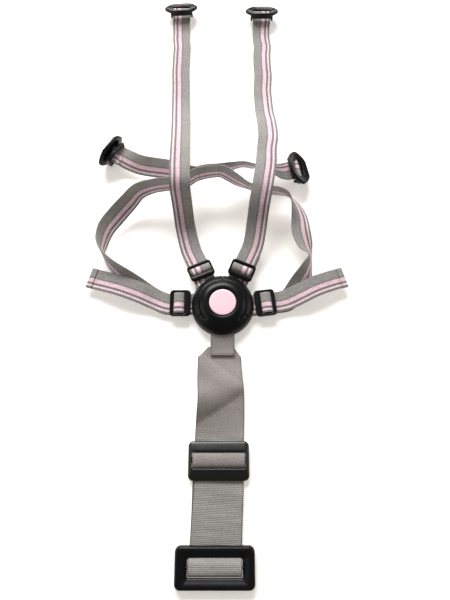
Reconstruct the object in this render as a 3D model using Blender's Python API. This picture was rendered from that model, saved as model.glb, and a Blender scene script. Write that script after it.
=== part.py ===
"""Five-point pushchair harness: a round centre buckle with two pull-out tongues, striped 25 mm webbing
for the shoulders, waist and back, and a wide crotch strap with its slider and anchor frame.

Lengths below are in millimetres and are scaled to metres where a mesh is made. The origin is the
centre of the buckle's flat back, +Y runs towards the shoulder anchors and +Z is up.
"""
import math

import bmesh
import bpy
from mathutils import Matrix, Vector

MM = 0.001
CLEAR = 0.35  # gap kept between pieces that touch

# Webbing
STRAP_WIDTH = 25.0
STRAP_THICK = 1.3
CROTCH_WIDTH = 53.0
CROTCH_THICK = 1.4
TAB_WIDTH = 27.5
LOFT_STEPS = 3  # sections between two stations

# Buckle
RIM_RADIUS = 37.0
RIM_TOP = 15.6
DOME_RADIUS = 27.0
DOME_TOP = 21.0
WALL = 2.2
BACK_THICK = 1.2
RING_BOTTOM = 1.5
RING_INNER = 27.4
LOWER_RIM_FROM = 210.0  # degrees, anticlockwise from +X
LOWER_RIM_TO = 330.0
SPLIT_GAP = 0.5
BUTTON_RADIUS = 16.0
BUTTON_TRAVEL = 2.6
BADGE_RADIUS = 15.2
BADGE_THICK = 0.9
SCREW_PLACES = ((-18.5, -25.5), (18.5, -25.5), (0.0, 21.2))
SCREW_RADIUS = 1.3

# Tongues: bars that hold the webbing, at BAR_RADIUS from the buckle's centre
BAR_HEIGHT = 5.4
BAR_RADIUS = 1.6
LOOP_RADIUS = BAR_RADIUS + 0.3 + STRAP_THICK / 2
POCKET_WIDTH = STRAP_WIDTH + 1.4
POCKET_TOP = 9.4
BLADE = (18.0, 2.5)  # width, thickness
BLADE_BOTTOM = 10.4
BLADE_TIP = 9.0

# Each strap at the tongue: its bar's centre and the direction in which the strap leaves
LEFT_SHOULDER = ((-18.9, 25.8), (-0.397, 0.918))
RIGHT_SHOULDER = ((16.0, 26.5), (0.400, 0.917))
LEFT_WAIST = ((-31.0, 2.0), (-1.0, 0.0))
RIGHT_WAIST = ((31.0, 0.1), (0.993, 0.119))
CROTCH_BAR = ((0.0, -31.0), (0.0, -1.0))

# Adjusters: width across the strap, length, thickness, window length
SHOULDER_ADJUSTER = (30.5, 21.0, 4.2, 11.0)
WAIST_ADJUSTER = (32.0, 24.5, 4.2, 13.5)
SHOULDER_PLY = ((6.0, 7.4), (60.0, 3.2))  # along the strap and height, at both ends of its straight
RIGHT_SHOULDER_PLY = ((6.0, 7.4), (60.0, 16.0))
WAIST_PLY_HEIGHT = 6.2
WAIST_LOWER_PLY = 2.9
LEFT_SHOULDER_SEAT = 18.6
RIGHT_SHOULDER_SEAT = 17.8
LEFT_WAIST_SEAT = 19.0
RIGHT_WAIST_SEAT = 19.2
ADJUSTER_LIFT = STRAP_THICK / 2 + CLEAR

# Crotch hardware
SLIDER = (65.0, 40.0, 4.6, 16.0)
SLIDER_PLACE = (-4.0, -173.0)
SLIDER_BOTTOM = 3.7
CROTCH_LOWER_PLY = 0.95
CROTCH_UPPER_PLY = 2.65
FRAME = (80.5, 39.5, 8.6, 17.0)
FRAME_PLACE = (-7.5, -273.5)
FRAME_BAR_HEIGHT = 4.6
FRAME_HINGE_Y = -248.0

# Anchors: flange length, width and thickness, and how far its faces lean from vertical
FLANGE = (48.0, 30.0, 4.2)
FLANGE_SLOT = (26.4, 9.6)
FLANGE_CORNER = 13.0
FLANGE_BOTTOM = 1.5  # above the bar's axis
NECK_DEPTH = 8.0
ANCHOR_BAR_RADIUS = 1.8
ANCHOR_LOOP = ANCHOR_BAR_RADIUS + 0.35 + STRAP_THICK / 2

# Each anchor: its bar's centre, the direction of the strap's pull, and the tilt of its outer face
ANCHORS = {
    "left_shoulder_anchor": ((-62.0, 457.0, 10.2), (0.0, 1.0), 21.0),
    "right_shoulder_anchor": ((57.0, 451.0, 10.2), (0.0, 1.0), 21.0),
    "left_waist_anchor": ((-143.5, 206.5, 15.4), (-0.85, 0.52), 84.0),
    "right_waist_anchor": ((95.5, 181.5, 14.0), (0.98, 0.20), 40.0),
}

# Stations of the free webbing: x, y, z and the roll of the striped edge, in degrees
LEFT_SHOULDER_RUN = (
    (-47, 104, 5.2, 0), (-49, 117, 14, 0), (-50, 126, 31, 0), (-51, 135, 46, 0), (-51, 146, 52, 0),
    (-52, 167, 50, 0), (-53.5, 208, 37, -3), (-56, 255, 18, -2), (-58, 285, 6, 0), (-59, 310, 2.6, 0),
    (-60, 372, 2.4, 1), (-61, 420, 3.4, 0), (-61.6, 438, 6.6, 0))
RIGHT_SHOULDER_RUN = (
    (41.6, 101, 27, 0), (44, 117, 42, 0), (48, 138, 52, 0), (52, 165, 50, 4), (54, 189, 45, 14),
    (57, 214, 40, 2), (57, 245, 27, -2), (56.5, 276, 10, 0), (56, 304, 3.0, 0), (56, 372, 2.4, 0),
    (55.5, 414, 3.4, 0), (56.4, 432, 6.6, 0))
LEFT_TAIL = (
    (-160, 34.5, 7.0, 180), (-146, 30.5, 9.0, 180), (-122, 23, 12.5, 180), (-98, 14.5, 11.0, 180),
    (-80, 7.5, 6.7, 180))
RIGHT_TAIL = (
    (146, 34.5, 8.0, 0), (132, 30.5, 10.5, 0), (110, 22, 13.0, 0), (92, 13.5, 11.5, 0),
    (76, 7.0, 6.6, 0))
LEFT_UNDER = (
    (-78, 7.5, 3.0, 180), (-92, 15.5, 4.6, 188), (-112, 30, 9.0, 218), (-129, 44, 12.8, 246),
    (-140, 55, 13.2, 258))
RIGHT_UNDER = (
    (76, 6.5, 3.0, 0), (84, 15, 5.0, -8), (92, 28, 9.0, -28), (100, 42, 12.6, -50))
LEFT_CUT = (-147.5, 67.0, 13.4, 268)
RIGHT_CUT = (105.5, 58.0, 12.9, -62)
WAIST_RUN = (
    (-148, 80, 13.2, -70), (-143, 98, 14, -55), (-131, 115, 15.5, -50), (-117, 130, 20, -58),
    (-104, 141, 27, -72), (-86, 145.5, 32, -82), (-66, 146.5, 35.5, -84), (-49, 149, 37, -84),
    (-40, 153, 37.5, -83), (-32, 158, 37.5, -86), (-18, 162, 37.5, -88), (-4, 163, 37.5, -89),
    (4, 160, 37.5, -84), (16, 152, 37, -88), (34, 142.5, 35.5, -104), (52, 139, 33.5, -102),
    (66, 139, 31.5, -100), (79, 136, 28, -108), (89, 126, 22, -128), (94.5, 111, 17.5, -150),
    (96, 92, 16.5, -165), (100, 75, 14.5, -148))
BACK_LEFT_RUN = (
    (-131, 200.5, 14.6, -6), (-122, 195.5, 13.6, -22), (-107, 189, 12.8, -38), (-88, 184, 14.4, -44),
    (-69, 177, 21, -60), (-50, 166, 32.5, -78))
BACK_SEAM = (-33.0, -3.0)  # x at the ends of the stretch sewn behind the waist strap
BACK_RIGHT_RUN = (
    (13, 171, 36, -102), (27, 175, 33.5, -110), (40, 174.5, 30, -112), (54, 176, 24, -132),
    (67, 177, 17.6, -158), (78, 178, 14.2, -176))
SEAM_OFFSET = STRAP_THICK + CLEAR + 0.1
PART_BEYOND = 9.0  # from a shoulder strap's straight to where its moving end is parted

CROTCH_RUN = (
    (-1.5, -49, 2.6, 0), (-1.4, -66, 3.0, 0), (-1.2, -88, 6.0, 4), (-1.2, -108, 7.0, -5),
    (-2.4, -130, 4.4, -3), (-3.2, -148, 2.7, 0), (-4.2, -200, 2.65, 0), (-5.6, -232, 2.65, 0))

COLOURS = {  # base colour, roughness
    "black_plastic": ((0.012, 0.013, 0.014), 0.42),
    "slate_plastic": ((0.020, 0.023, 0.026), 0.36),
    "grey_webbing": ((0.33, 0.32, 0.31), 0.85),
    "striped_webbing": ((0.45, 0.36, 0.38), 0.85),
    "pink_badge": ((0.93, 0.66, 0.74), 0.35),
    "steel": ((0.60, 0.60, 0.61), 0.3),
}


def clear_scene():
    for obj in list(bpy.data.objects):
        bpy.data.objects.remove(obj, do_unlink=True)


def collection(name):
    made = bpy.data.collections.new(name)
    bpy.context.scene.collection.children.link(made)
    return made


def material(name):
    """One Principled finish from the COLOURS table."""
    made = bpy.data.materials.new(name)
    made.use_nodes = True
    colour, roughness = COLOURS[name.split("-")[0]]
    shader = made.node_tree.nodes["Principled BSDF"]
    shader.inputs["Base Color"].default_value = (*colour, 1.0)
    shader.inputs["Roughness"].default_value = roughness
    shader.inputs["Metallic"].default_value = 1.0 if name.startswith("steel") else 0.0
    return made


def object_from(bm, name="piece"):
    """Links a finished bmesh, given in millimetres, as an object in metres."""
    bmesh.ops.recalc_face_normals(bm, faces=bm.faces)
    bmesh.ops.scale(bm, vec=Vector((MM, MM, MM)), verts=bm.verts)
    mesh = bpy.data.meshes.new(name)
    bm.to_mesh(mesh)
    bm.free()
    obj = bpy.data.objects.new(name, mesh)
    bpy.context.scene.collection.objects.link(obj)
    return obj


def box(size, centre):
    bm = bmesh.new()
    bmesh.ops.create_cube(bm, size=1.0)
    bmesh.ops.scale(bm, vec=Vector(size), verts=bm.verts)
    bmesh.ops.translate(bm, vec=Vector(centre), verts=bm.verts)
    return object_from(bm)


def rod(start, end, radius, segments=16):
    """A cylinder between two points."""
    start = Vector(start)
    span = Vector(end) - start
    bm = bmesh.new()
    bmesh.ops.create_cone(bm, cap_ends=True, segments=segments, radius1=radius, radius2=radius,
                          depth=span.length)
    turn = span.to_track_quat("Z", "Y").to_matrix().to_4x4()
    bmesh.ops.transform(bm, matrix=Matrix.Translation(start + span / 2) @ turn, verts=bm.verts)
    return object_from(bm)


def rounded_rectangle(width, length, corner, steps=5):
    """Outline of a rounded rectangle about the origin."""
    points = []
    for quarter, (sx, sy) in enumerate(((1, 1), (-1, 1), (-1, -1), (1, -1))):
        centre = Vector((sx * (width / 2 - corner), sy * (length / 2 - corner)))
        for step in range(steps + 1):
            angle = math.radians(90 * (quarter + step / steps))
            points.append(centre + corner * Vector((math.cos(angle), math.sin(angle))))
    return points


def plate(outline, bottom, top, bevel=0.0):
    """An extruded outline, with its upper and lower edges bevelled when asked."""
    bm = bmesh.new()
    face = bm.faces.new([bm.verts.new((p[0], p[1], bottom)) for p in outline])
    raised = bmesh.ops.extrude_face_region(bm, geom=[face])["geom"]
    tops = [item for item in raised if isinstance(item, bmesh.types.BMVert)]
    bmesh.ops.translate(bm, vec=Vector((0, 0, top - bottom)), verts=tops)
    if bevel:
        flat = [e for e in bm.edges if abs(e.verts[0].co.z - e.verts[1].co.z) < 1e-6]
        bmesh.ops.bevel(bm, geom=flat, offset=bevel, segments=2, profile=0.5, affect="EDGES",
                        clamp_overlap=True, material=-1)
    return object_from(bm)


def turned(profile, steps=48):
    """A solid of revolution: a closed profile of (radius, height), or one whose ends lie on the axis."""
    bm = bmesh.new()
    verts = [bm.verts.new((radius, 0.0, height)) for radius, height in profile]
    edges = [bm.edges.new(pair) for pair in zip(verts, verts[1:])]
    if profile[0][0] > 0:
        edges.append(bm.edges.new((verts[-1], verts[0])))
    bmesh.ops.spin(bm, geom=verts + edges, axis=(0, 0, 1), cent=(0, 0, 0), angle=2 * math.pi,
                   steps=steps, use_merge=True)
    bmesh.ops.remove_doubles(bm, verts=bm.verts, dist=1e-4)
    return object_from(bm)


def wedge(from_angle, to_angle, radius=60.0, bottom=-5.0, top=40.0):
    """A pie slice about the buckle's axis, its flat faces moved in by half the split's gap."""
    middle = math.radians((from_angle + to_angle) / 2)
    half = math.radians((to_angle - from_angle) / 2)
    inset = SPLIT_GAP / 2 / math.sin(half)
    tip = Vector((math.cos(middle), math.sin(middle))) * inset
    points = [tip]
    count = 8
    for step in range(count + 1):
        angle = middle - half + 2 * half * step / count
        points.append(tip + radius * Vector((math.cos(angle), math.sin(angle))))
    return plate(points, bottom, top)


def combine(obj, other, operation):
    """Applies an exact Boolean and removes the second object."""
    modifier = obj.modifiers.new(operation.lower(), "BOOLEAN")
    modifier.operation = operation
    modifier.solver = "EXACT"
    modifier.object = other
    depsgraph = bpy.context.evaluated_depsgraph_get()
    mesh = bpy.data.meshes.new_from_object(obj.evaluated_get(depsgraph))
    obj.modifiers.clear()
    old = obj.data
    obj.data = mesh
    bpy.data.meshes.remove(old)
    bpy.data.objects.remove(other, do_unlink=True)
    return obj


def cut(obj, *others):
    for other in others:
        combine(obj, other, "DIFFERENCE")
    return obj


def join(obj, *others):
    for other in others:
        combine(obj, other, "UNION")
    return obj


def finish(obj, name, finish_name, group, parent=None):
    """Names a node, gives it its own material and puts it in the harness collection."""
    obj.name = name
    obj.data.name = name
    obj.data.materials.clear()
    obj.data.materials.append(material(finish_name + "-" + name))
    obj.data.shade_smooth()
    obj.data.set_sharp_from_angle(angle=math.radians(35))
    for holder in list(obj.users_collection):
        holder.objects.unlink(obj)
    group.objects.link(obj)
    if parent is not None:
        obj.parent = parent
        obj.matrix_parent_inverse = parent.matrix_world.inverted()
    return obj


def place(obj, origin, x_axis, y_axis):
    """Moves a mesh made about the world's origin to its own origin and axes."""
    x_axis = Vector(x_axis).normalized()
    z_axis = x_axis.cross(Vector(y_axis)).normalized()
    y_axis = z_axis.cross(x_axis)
    turn = Matrix((x_axis, y_axis, z_axis)).transposed().to_4x4()
    obj.matrix_world = Matrix.Translation(Vector(origin) * MM) @ turn
    bpy.context.view_layer.update()
    return obj


def pivot(name, where):
    """An empty on a joint's axis, which the moving pieces hang from."""
    empty = bpy.data.objects.new(name, None)
    empty.empty_display_size = 0.02
    empty.location = Vector(where) * MM
    bpy.context.scene.collection.objects.link(empty)
    bpy.context.view_layer.update()
    return empty


# Webbing: a section lofted through stations


def stations(rows):
    """Turns x, y, z, roll rows into points with the direction of the striped edge."""
    made = []
    for index, (x, y, z, roll) in enumerate(rows):
        before = rows[max(index - 1, 0)]
        after = rows[min(index + 1, len(rows) - 1)]
        ahead = Vector((after[0] - before[0], after[1] - before[1], 0)).normalized()
        right = Vector((ahead.y, -ahead.x, 0))
        angle = math.radians(roll)
        made.append((Vector((x, y, z)), right * math.cos(angle) + Vector((0, 0, math.sin(angle)))))
    return made


def reversed_side(rows):
    """The same rows walked the other way."""
    return [(point, side) for point, side in reversed(rows)]


def wrap(bar, away, up, side, radius, spread=2.0, steps=8):
    """Half a turn round a bar, from the ply on its -up side to the one on its +up side."""
    bar, away, up = Vector(bar), Vector(away), Vector(up)
    turn = [(bar + away * spread - up * radius, side)]
    for step in range(steps + 1):
        angle = math.pi * step / steps
        point = bar - up * radius * math.cos(angle) - away * radius * math.sin(angle)
        turn.append((point, side))
    turn.append((bar + away * spread + up * radius, side))
    return turn


def smooth_path(rows, steps):
    """Hermite points and sides through the rows; close rows are kept as they are."""
    made = []
    last = len(rows) - 1
    for index in range(last):
        p0, p1, p2, p3 = (rows[min(max(index + k, 0), last)] for k in (-1, 0, 1, 2))
        span = (p2[0] - p1[0]).length
        before = (p1[0] - p0[0]).length + span
        beyond = (p3[0] - p2[0]).length + span
        count = steps if span > 3.0 else 1
        for step in range(count):
            t = step / count
            point, side = (
                b + (c - b) * t * t * (3 - 2 * t) + (c - a) * (span / before) * t * (1 - t) ** 2
                - (d - b) * (span / beyond) * t * t * (1 - t)
                for a, b, c, d in zip(p0, p1, p2, p3))
            made.append((point, side.normalized()))
    made.append(rows[-1])
    return made


def webbing(rows, width, thick, steps=LOFT_STEPS):
    """A closed strap of rectangular section lofted along the rows."""
    path = smooth_path(rows, steps)
    bm = bmesh.new()
    rings = []
    for index, (point, side) in enumerate(path):
        ahead = path[min(index + 1, len(path) - 1)][0] - path[max(index - 1, 0)][0]
        normal = side.cross(ahead).normalized() * thick / 2
        half = side * width / 2
        corners = (point - half - normal, point + half - normal, point + half + normal,
                   point - half + normal)
        rings.append([bm.verts.new(corner) for corner in corners])
    for ring, following in zip(rings, rings[1:]):
        for k in range(4):
            bm.faces.new((ring[k], ring[(k + 1) % 4], following[(k + 1) % 4], following[k]))
    bm.faces.new(rings[0])
    bm.faces.new(list(reversed(rings[-1])))
    bmesh.ops.triangulate(bm, faces=bm.faces)
    return object_from(bm)


def on_strap(strap, along, height):
    (x, y), (ux, uy) = strap
    return Vector((x + ux * along, y + uy * along, height))


def across(strap):
    (_, _), (ux, uy) = strap
    return Vector((uy, -ux, 0)).normalized()


def tongue_loop(strap, side):
    """The webbing's half turn round a tongue's bar, from the lower ply to the upper one."""
    away = Vector((*strap[1], 0)).normalized()
    bar = on_strap(strap, 0, BAR_HEIGHT)
    return wrap(bar, away, Vector((0, 0, 1)), side, LOOP_RADIUS)


def anchor_end(name, side, main_up=1.0):
    """Webbing round an anchor's bar: the sewn-back end first, the load-bearing ply last."""
    (x, y, z), (px, py), _ = ANCHORS[name]
    away = Vector((-px, -py, 0)).normalized()
    up = Vector((0, 0, main_up))
    bar = Vector((x, y, z))
    lean = Vector((0, 0, 0))
    near = bar + away * 7
    tail = bar + away * 16
    lean.z = -2.0 if z < 11 else 0.0
    rows = [(tail - up * 0.9 + lean, side), (near - up * 1.1 + lean * 0.4, side)]
    turn = wrap(bar, away, up, side, ANCHOR_LOOP, spread=0.6)
    return rows + turn + [(near + up * 1.1 + lean * 0.4, side)]


# Buckle


def rim_profile():
    """Closed section of the rim from the dome's foot to the outer wall."""
    return [(RING_INNER, RING_BOTTOM), (RIM_RADIUS - 1.0, RING_BOTTOM), (RIM_RADIUS, RING_BOTTOM + 1.0),
            (RIM_RADIUS, 8.6), (36.4, 10.8), (34.8, 12.9), (32.2, 14.5), (29.6, RIM_TOP - 0.1),
            (27.9, RIM_TOP), (RING_INNER, RIM_TOP - 0.5)]


def dome_profile():
    """Closed section of the domed cover: outside from its foot to the button's well, then inside."""
    inner = DOME_RADIUS - WALL
    return [(DOME_RADIUS, RING_BOTTOM), (DOME_RADIUS, 16.2), (26.2, 18.2), (24.4, 19.9),
            (21.6, DOME_TOP), (18.6, DOME_TOP - 0.3), (16.9, DOME_TOP - 1.4),
            (BUTTON_RADIUS + 0.4, DOME_TOP - 2.0), (BUTTON_RADIUS + 0.4, 15.6), (18.4, 15.6),
            (18.4, 17.6), (21.6, 18.4), (23.6, 17.2), (inner, 15.2), (inner, RING_BOTTOM)]


def pocket(strap):
    """The space round a bar, open towards the strap and below."""
    away = Vector((*strap[1], 0)).normalized()
    reach = 14.0
    inner = LOOP_RADIUS + STRAP_THICK / 2 + CLEAR
    cutter = box((POCKET_WIDTH, reach + inner, POCKET_TOP), (0, (reach - inner) / 2, POCKET_TOP / 2))
    side = across(strap)
    return place(cutter, on_strap(strap, 0, 0), side, away)


def strap_bar(strap, width=POCKET_WIDTH):
    side = across(strap) * (width / 2 + 0.6)
    bar = on_strap(strap, 0, BAR_HEIGHT)
    return rod(bar - side, bar + side, BAR_RADIUS, 12)


def crotch_pocket():
    inner = LOOP_RADIUS + CROTCH_THICK / 2 + CLEAR
    reach = 14.0
    return box((TAB_WIDTH + 1.4, reach + inner, POCKET_TOP),
               (0, CROTCH_BAR[0][1] - (reach - inner) / 2, POCKET_TOP / 2))


def front_cover():
    """The dome with the lower third of the rim, which holds the crotch strap's bar."""
    rim = combine(turned(rim_profile()), wedge(LOWER_RIM_FROM, LOWER_RIM_TO), "INTERSECT")
    web = combine(turned([(24.9, 6.0), (30.0, 6.0), (30.0, 15.0), (24.9, 14.8)]),
                  wedge(LOWER_RIM_FROM + 3, LOWER_RIM_TO - 3), "INTERSECT")
    cover = join(turned(dome_profile()), rim, web)
    post = rod((*SCREW_PLACES[2], RING_BOTTOM), (*SCREW_PLACES[2], 18.0), 3.0, 16)
    join(cover, post)
    blade_slot = box((70, BLADE[0] + 1.2, BLADE[1] + 1.0),
                     (0, 0, BLADE_BOTTOM + BLADE[1] / 2))
    cut(cover, blade_slot, crotch_pocket())
    bar_half = Vector((TAB_WIDTH / 2 + 1.3, 0, 0))
    bar = on_strap(CROTCH_BAR, 0, BAR_HEIGHT)
    join(cover, rod(bar - bar_half, bar + bar_half, BAR_RADIUS, 12))
    for x, y in SCREW_PLACES:
        cut(cover, rod((x, y, 0), (x, y, 9.0), SCREW_RADIUS + CLEAR, 12))
    return cover


def back_shell():
    """The flat back with the spring's seat and the screws' holes."""
    shell = turned([(0, 0), (RIM_RADIUS - 1.2, 0), (RIM_RADIUS - 0.7, 0.5),
                    (RIM_RADIUS - 0.7, BACK_THICK), (0, BACK_THICK)])
    join(shell, rod((0, 0, BACK_THICK - 0.2), (0, 0, 3.0), 3.6, 20))
    for x, y in SCREW_PLACES:
        cut(shell, rod((x, y, -1), (x, y, 3), SCREW_RADIUS + CLEAR, 12))
    return shell


def screws(group):
    """The screws that hold the cover on the back, their heads flush with it."""
    for number, (x, y) in enumerate(SCREW_PLACES, start=1):
        screw = rod((x, y, 0.2), (x, y, 8.0), SCREW_RADIUS, 12)
        finish(screw, f"buckle_screw_{number}", "steel", group)


def release_button():
    """The button's cap, with its stem down to the latch plate."""
    top = DOME_TOP - 1.2
    cap = turned([(0, top - BADGE_THICK), (BADGE_RADIUS + 0.1, top - BADGE_THICK),
                  (BADGE_RADIUS + 0.1, top), (BUTTON_RADIUS - 0.3, top), (BUTTON_RADIUS, top - 0.4),
                  (BUTTON_RADIUS, 16.0), (BUTTON_RADIUS - 1.6, 16.0), (BUTTON_RADIUS - 1.6, 17.2),
                  (0, 17.2)], steps=40)
    return join(cap, rod((0, 0, 7.9), (0, 0, 17.4), 4.0, 16))


def badge():
    top = DOME_TOP - 1.2
    bottom = top - BADGE_THICK + 0.3
    return turned([(0, bottom), (BADGE_RADIUS - 0.3, bottom), (BADGE_RADIUS - 0.3, top + 0.1),
                   (BADGE_RADIUS - 0.8, top + 0.3), (0, top + 0.5)], steps=40)


def latch_plate():
    """The plate under the button, with a tooth for each tongue's blade."""
    bottom, top = 6.0, 7.6
    tooth_top = BLADE_BOTTOM - CLEAR
    body = plate(rounded_rectangle(34, 12, 4), bottom, top)
    for x in (-14.0, 14.0):
        join(body, box((3.0, 8.0, tooth_top - top + 0.5), (x, 0, (tooth_top + top - 0.5) / 2)))
    return body


def return_spring():
    """An open coil between the back's seat and the latch plate."""
    turns, per_turn = 3, 12
    radius, wire = 4.6, 0.35
    bottom, top = BACK_THICK + wire + CLEAR, 6.0 - wire - CLEAR
    curve = bpy.data.curves.new("coil", "CURVE")
    curve.dimensions = "3D"
    curve.bevel_depth = wire * MM
    curve.bevel_resolution = 2
    curve.use_fill_caps = True
    line = curve.splines.new("POLY")
    count = turns * per_turn
    line.points.add(count)
    for step in range(count + 1):
        angle = 2 * math.pi * step / per_turn
        height = bottom + (top - bottom) * step / count
        point = Vector((radius * math.cos(angle), radius * math.sin(angle), height)) * MM
        line.points[step].co = (*point, 1.0)
    wire_object = bpy.data.objects.new("coil", curve)
    bpy.context.scene.collection.objects.link(wire_object)
    depsgraph = bpy.context.evaluated_depsgraph_get()
    mesh = bpy.data.meshes.new_from_object(wire_object.evaluated_get(depsgraph))
    bpy.data.objects.remove(wire_object, do_unlink=True)
    bm = bmesh.new()
    bm.from_mesh(mesh)
    bpy.data.meshes.remove(mesh)
    bmesh.ops.remove_doubles(bm, verts=bm.verts, dist=1e-6)
    bmesh.ops.scale(bm, vec=Vector((1 / MM, 1 / MM, 1 / MM)), verts=bm.verts)
    return object_from(bm)


def tongue(from_angle, to_angle, side_sign, shoulder, waist):
    """A sector of the rim with its blade, and a bar for the shoulder and the waist webbing."""
    body = combine(turned(rim_profile()), wedge(from_angle, to_angle), "INTERSECT")
    cut(body, pocket(shoulder), pocket(waist))
    root = RING_INNER + 1.5
    blade = box((root - BLADE_TIP, BLADE[0], BLADE[1]),
                (side_sign * (root + BLADE_TIP) / 2, 0, BLADE_BOTTOM + BLADE[1] / 2))
    cut(blade, box((4.0, 9.0, 8.0), (side_sign * 14.0, 0, BLADE_BOTTOM)))
    return join(body, blade, strap_bar(shoulder), strap_bar(waist))


# Adjusters and crotch hardware


def tri_glide(size, bottom, corner=4.0, bar_width=3.2, bevel=0.7):
    """A rounded frame with one window and a centre bar, its bottom at the height given."""
    width, length, thick, window = size
    frame = plate(rounded_rectangle(width, length, corner), bottom, bottom + thick, bevel)
    opening = width - 5.0 if width < 40 else width - 9.0
    cut(frame, box((opening, window, thick * 3), (0, 0, bottom + thick / 2)))
    bar = box((opening + 1.0, bar_width, 1.8), (0, 0, bottom + thick * 0.42))
    return join(frame, bar)


def hump(size, bottom, width, thick, bar_width=3.2):
    """Webbing over the centre bar: an arch from one side of the window to the other."""
    _, _, frame_thick, window = size
    bar_top = bottom + frame_thick * 0.42 + 0.9
    crown = bar_top + CLEAR + thick / 2
    foot = bottom + thick / 2
    reach = window / 2 - CLEAR - thick / 2
    lean = bar_width / 2 + CLEAR + thick / 2
    side = Vector((1, 0, 0))
    outline = [(-reach, foot), (-lean - 0.4, crown - 0.9), (-lean * 0.45, crown),
               (lean * 0.45, crown), (lean + 0.4, crown - 0.9), (reach, foot)]
    rows = [(Vector((0, y, z)), side) for y, z in outline]
    return webbing(rows, width, thick, 2)


def adjuster(name, strap, size, seat, heights, group, parent):
    """A tri-glide on its strap, with the webbing over its bar."""
    (s0, z0), (s1, z1) = heights
    slope = (z1 - z0) / (s1 - s0)
    height = z0 + slope * (seat - s0)
    away = Vector((*strap[1], slope)).normalized()
    side = across(strap)
    origin = on_strap(strap, seat, height)
    hub = pivot(name + "_axis", origin)
    hub.parent = parent
    hub.matrix_parent_inverse = parent.matrix_world.inverted()
    frame = tri_glide(size, ADJUSTER_LIFT)
    place(frame, origin, side, away)
    bpy.context.view_layer.update()
    finish(frame, name, "black_plastic", group, hub)
    loop = hump(size, ADJUSTER_LIFT + 0.1, STRAP_WIDTH, STRAP_THICK)
    place(loop, origin, side, away)
    finish(loop, name + "_webbing", "striped_webbing", group, hub)


def crotch_slider(group):
    x, y = SLIDER_PLACE
    hub = pivot("crotch_slider_axis", (x, y, SLIDER_BOTTOM))
    frame = tri_glide(SLIDER, 0.0, corner=5.5, bar_width=6.0, bevel=1.4)
    place(frame, (x, y, SLIDER_BOTTOM), (1, 0, 0), (0, 1, 0))
    finish(frame, "crotch_slider", "slate_plastic", group, hub)
    loop = hump(SLIDER, 0.1, CROTCH_WIDTH, CROTCH_THICK, 6.0)
    place(loop, (x, y, SLIDER_BOTTOM), (1, 0, 0), (0, 1, 0))
    finish(loop, "crotch_slider_webbing", "grey_webbing", group, hub)


def crotch_frame():
    """The anchor frame: a thick rounded ring, its centre bar, and room below its upper rail."""
    width, length, thick, window = FRAME
    x, y = FRAME_PLACE
    frame = plate(rounded_rectangle(width, length, 5.5), 0.3, 0.3 + thick, 1.2)
    cut(frame, box((57.0, window, 30.0), (0, 0, 0)))
    slope = math.radians(24)
    for sign in (-1, 1):
        wall = box((57.0, 14.0, 8.0), (0, 0, 0))
        place(wall, (0, sign * (window / 2 + 7.2), thick + 4.4), (1, 0, 0),
              (0, math.cos(slope), sign * math.sin(slope)))
        cut(frame, wall)
    passage_top = CROTCH_UPPER_PLY + CROTCH_THICK / 2 + CLEAR + 0.8
    cut(frame, box((CROTCH_WIDTH + 4.0, length, passage_top * 2), (0, window / 2 + 5, 0)))
    join(frame, rod((-29.2, 0, FRAME_BAR_HEIGHT), (29.2, 0, FRAME_BAR_HEIGHT), 1.6, 12))
    frame.location = Vector((x, y, 0)) * MM
    bpy.context.view_layer.update()
    return frame


def anchor_body():
    """A dished flange with a slot and a bar across it, and two posts and a rail behind."""
    length, width, thick = FLANGE
    slot_length, slot_width = FLANGE_SLOT
    top = FLANGE_BOTTOM + thick
    body = plate(rounded_rectangle(length, width, FLANGE_CORNER, 6), FLANGE_BOTTOM, top, 1.1)
    dish = plate(rounded_rectangle(length - 7, width - 7, FLANGE_CORNER - 3.5, 6), top - 0.8, 9.0)
    cut(body, dish)
    posts = slot_length / 2 + 1.7
    for sign in (-1, 1):
        join(body, box((2.8, 9.0, NECK_DEPTH + 2.4), (sign * posts, 0, -NECK_DEPTH / 2 + 1.6)))
    join(body, box((2 * posts, 1.8, 1.8), (0, 5.4, -NECK_DEPTH + 1.3)),
         box((2.8, 4.0, 1.8), (posts, 4.2, -NECK_DEPTH + 1.3)),
         box((2.8, 4.0, 1.8), (-posts, 4.2, -NECK_DEPTH + 1.3)))
    cut(body, box((slot_length, slot_width, 12.0), (0, 0, 4.0)))
    join(body, rod((-posts, 0, 0), (posts, 0, 0), ANCHOR_BAR_RADIUS, 12))
    return body


def anchors(group):
    for name, (bar, (px, py), tilt) in ANCHORS.items():
        hub = pivot(name + "_axis", bar)
        pull = Vector((px, py, 0)).normalized()
        angle = math.radians(tilt)
        outward = pull * math.sin(angle) + Vector((0, 0, math.cos(angle)))
        side = Vector((pull.y, -pull.x, 0))
        body = place(anchor_body(), bar, side, outward.cross(side))
        finish(body, name, "black_plastic", group, hub)


# Webbing nodes


def shoulder_end(strap, heights, sign):
    """A shoulder strap's lower end: folded back under, round the bar and up to where it is parted."""
    side = across(strap) * sign
    (s0, z0), (s1, z1) = heights
    slope = (z1 - z0) / (s1 - s0)
    start_lower = min(z0 + slope * 44 - 2.4, 2.6)
    rows = [(on_strap(strap, 46, max(start_lower, 1.0)), side), (on_strap(strap, 24, 1.9), side),
            (on_strap(strap, 8, 2.5), side)]
    rows += tongue_loop(strap, side)
    rows += [(on_strap(strap, s0, z0), side), (on_strap(strap, 30, z0 + slope * 24), side),
             (on_strap(strap, s1, z1), side)]
    return rows


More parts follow.
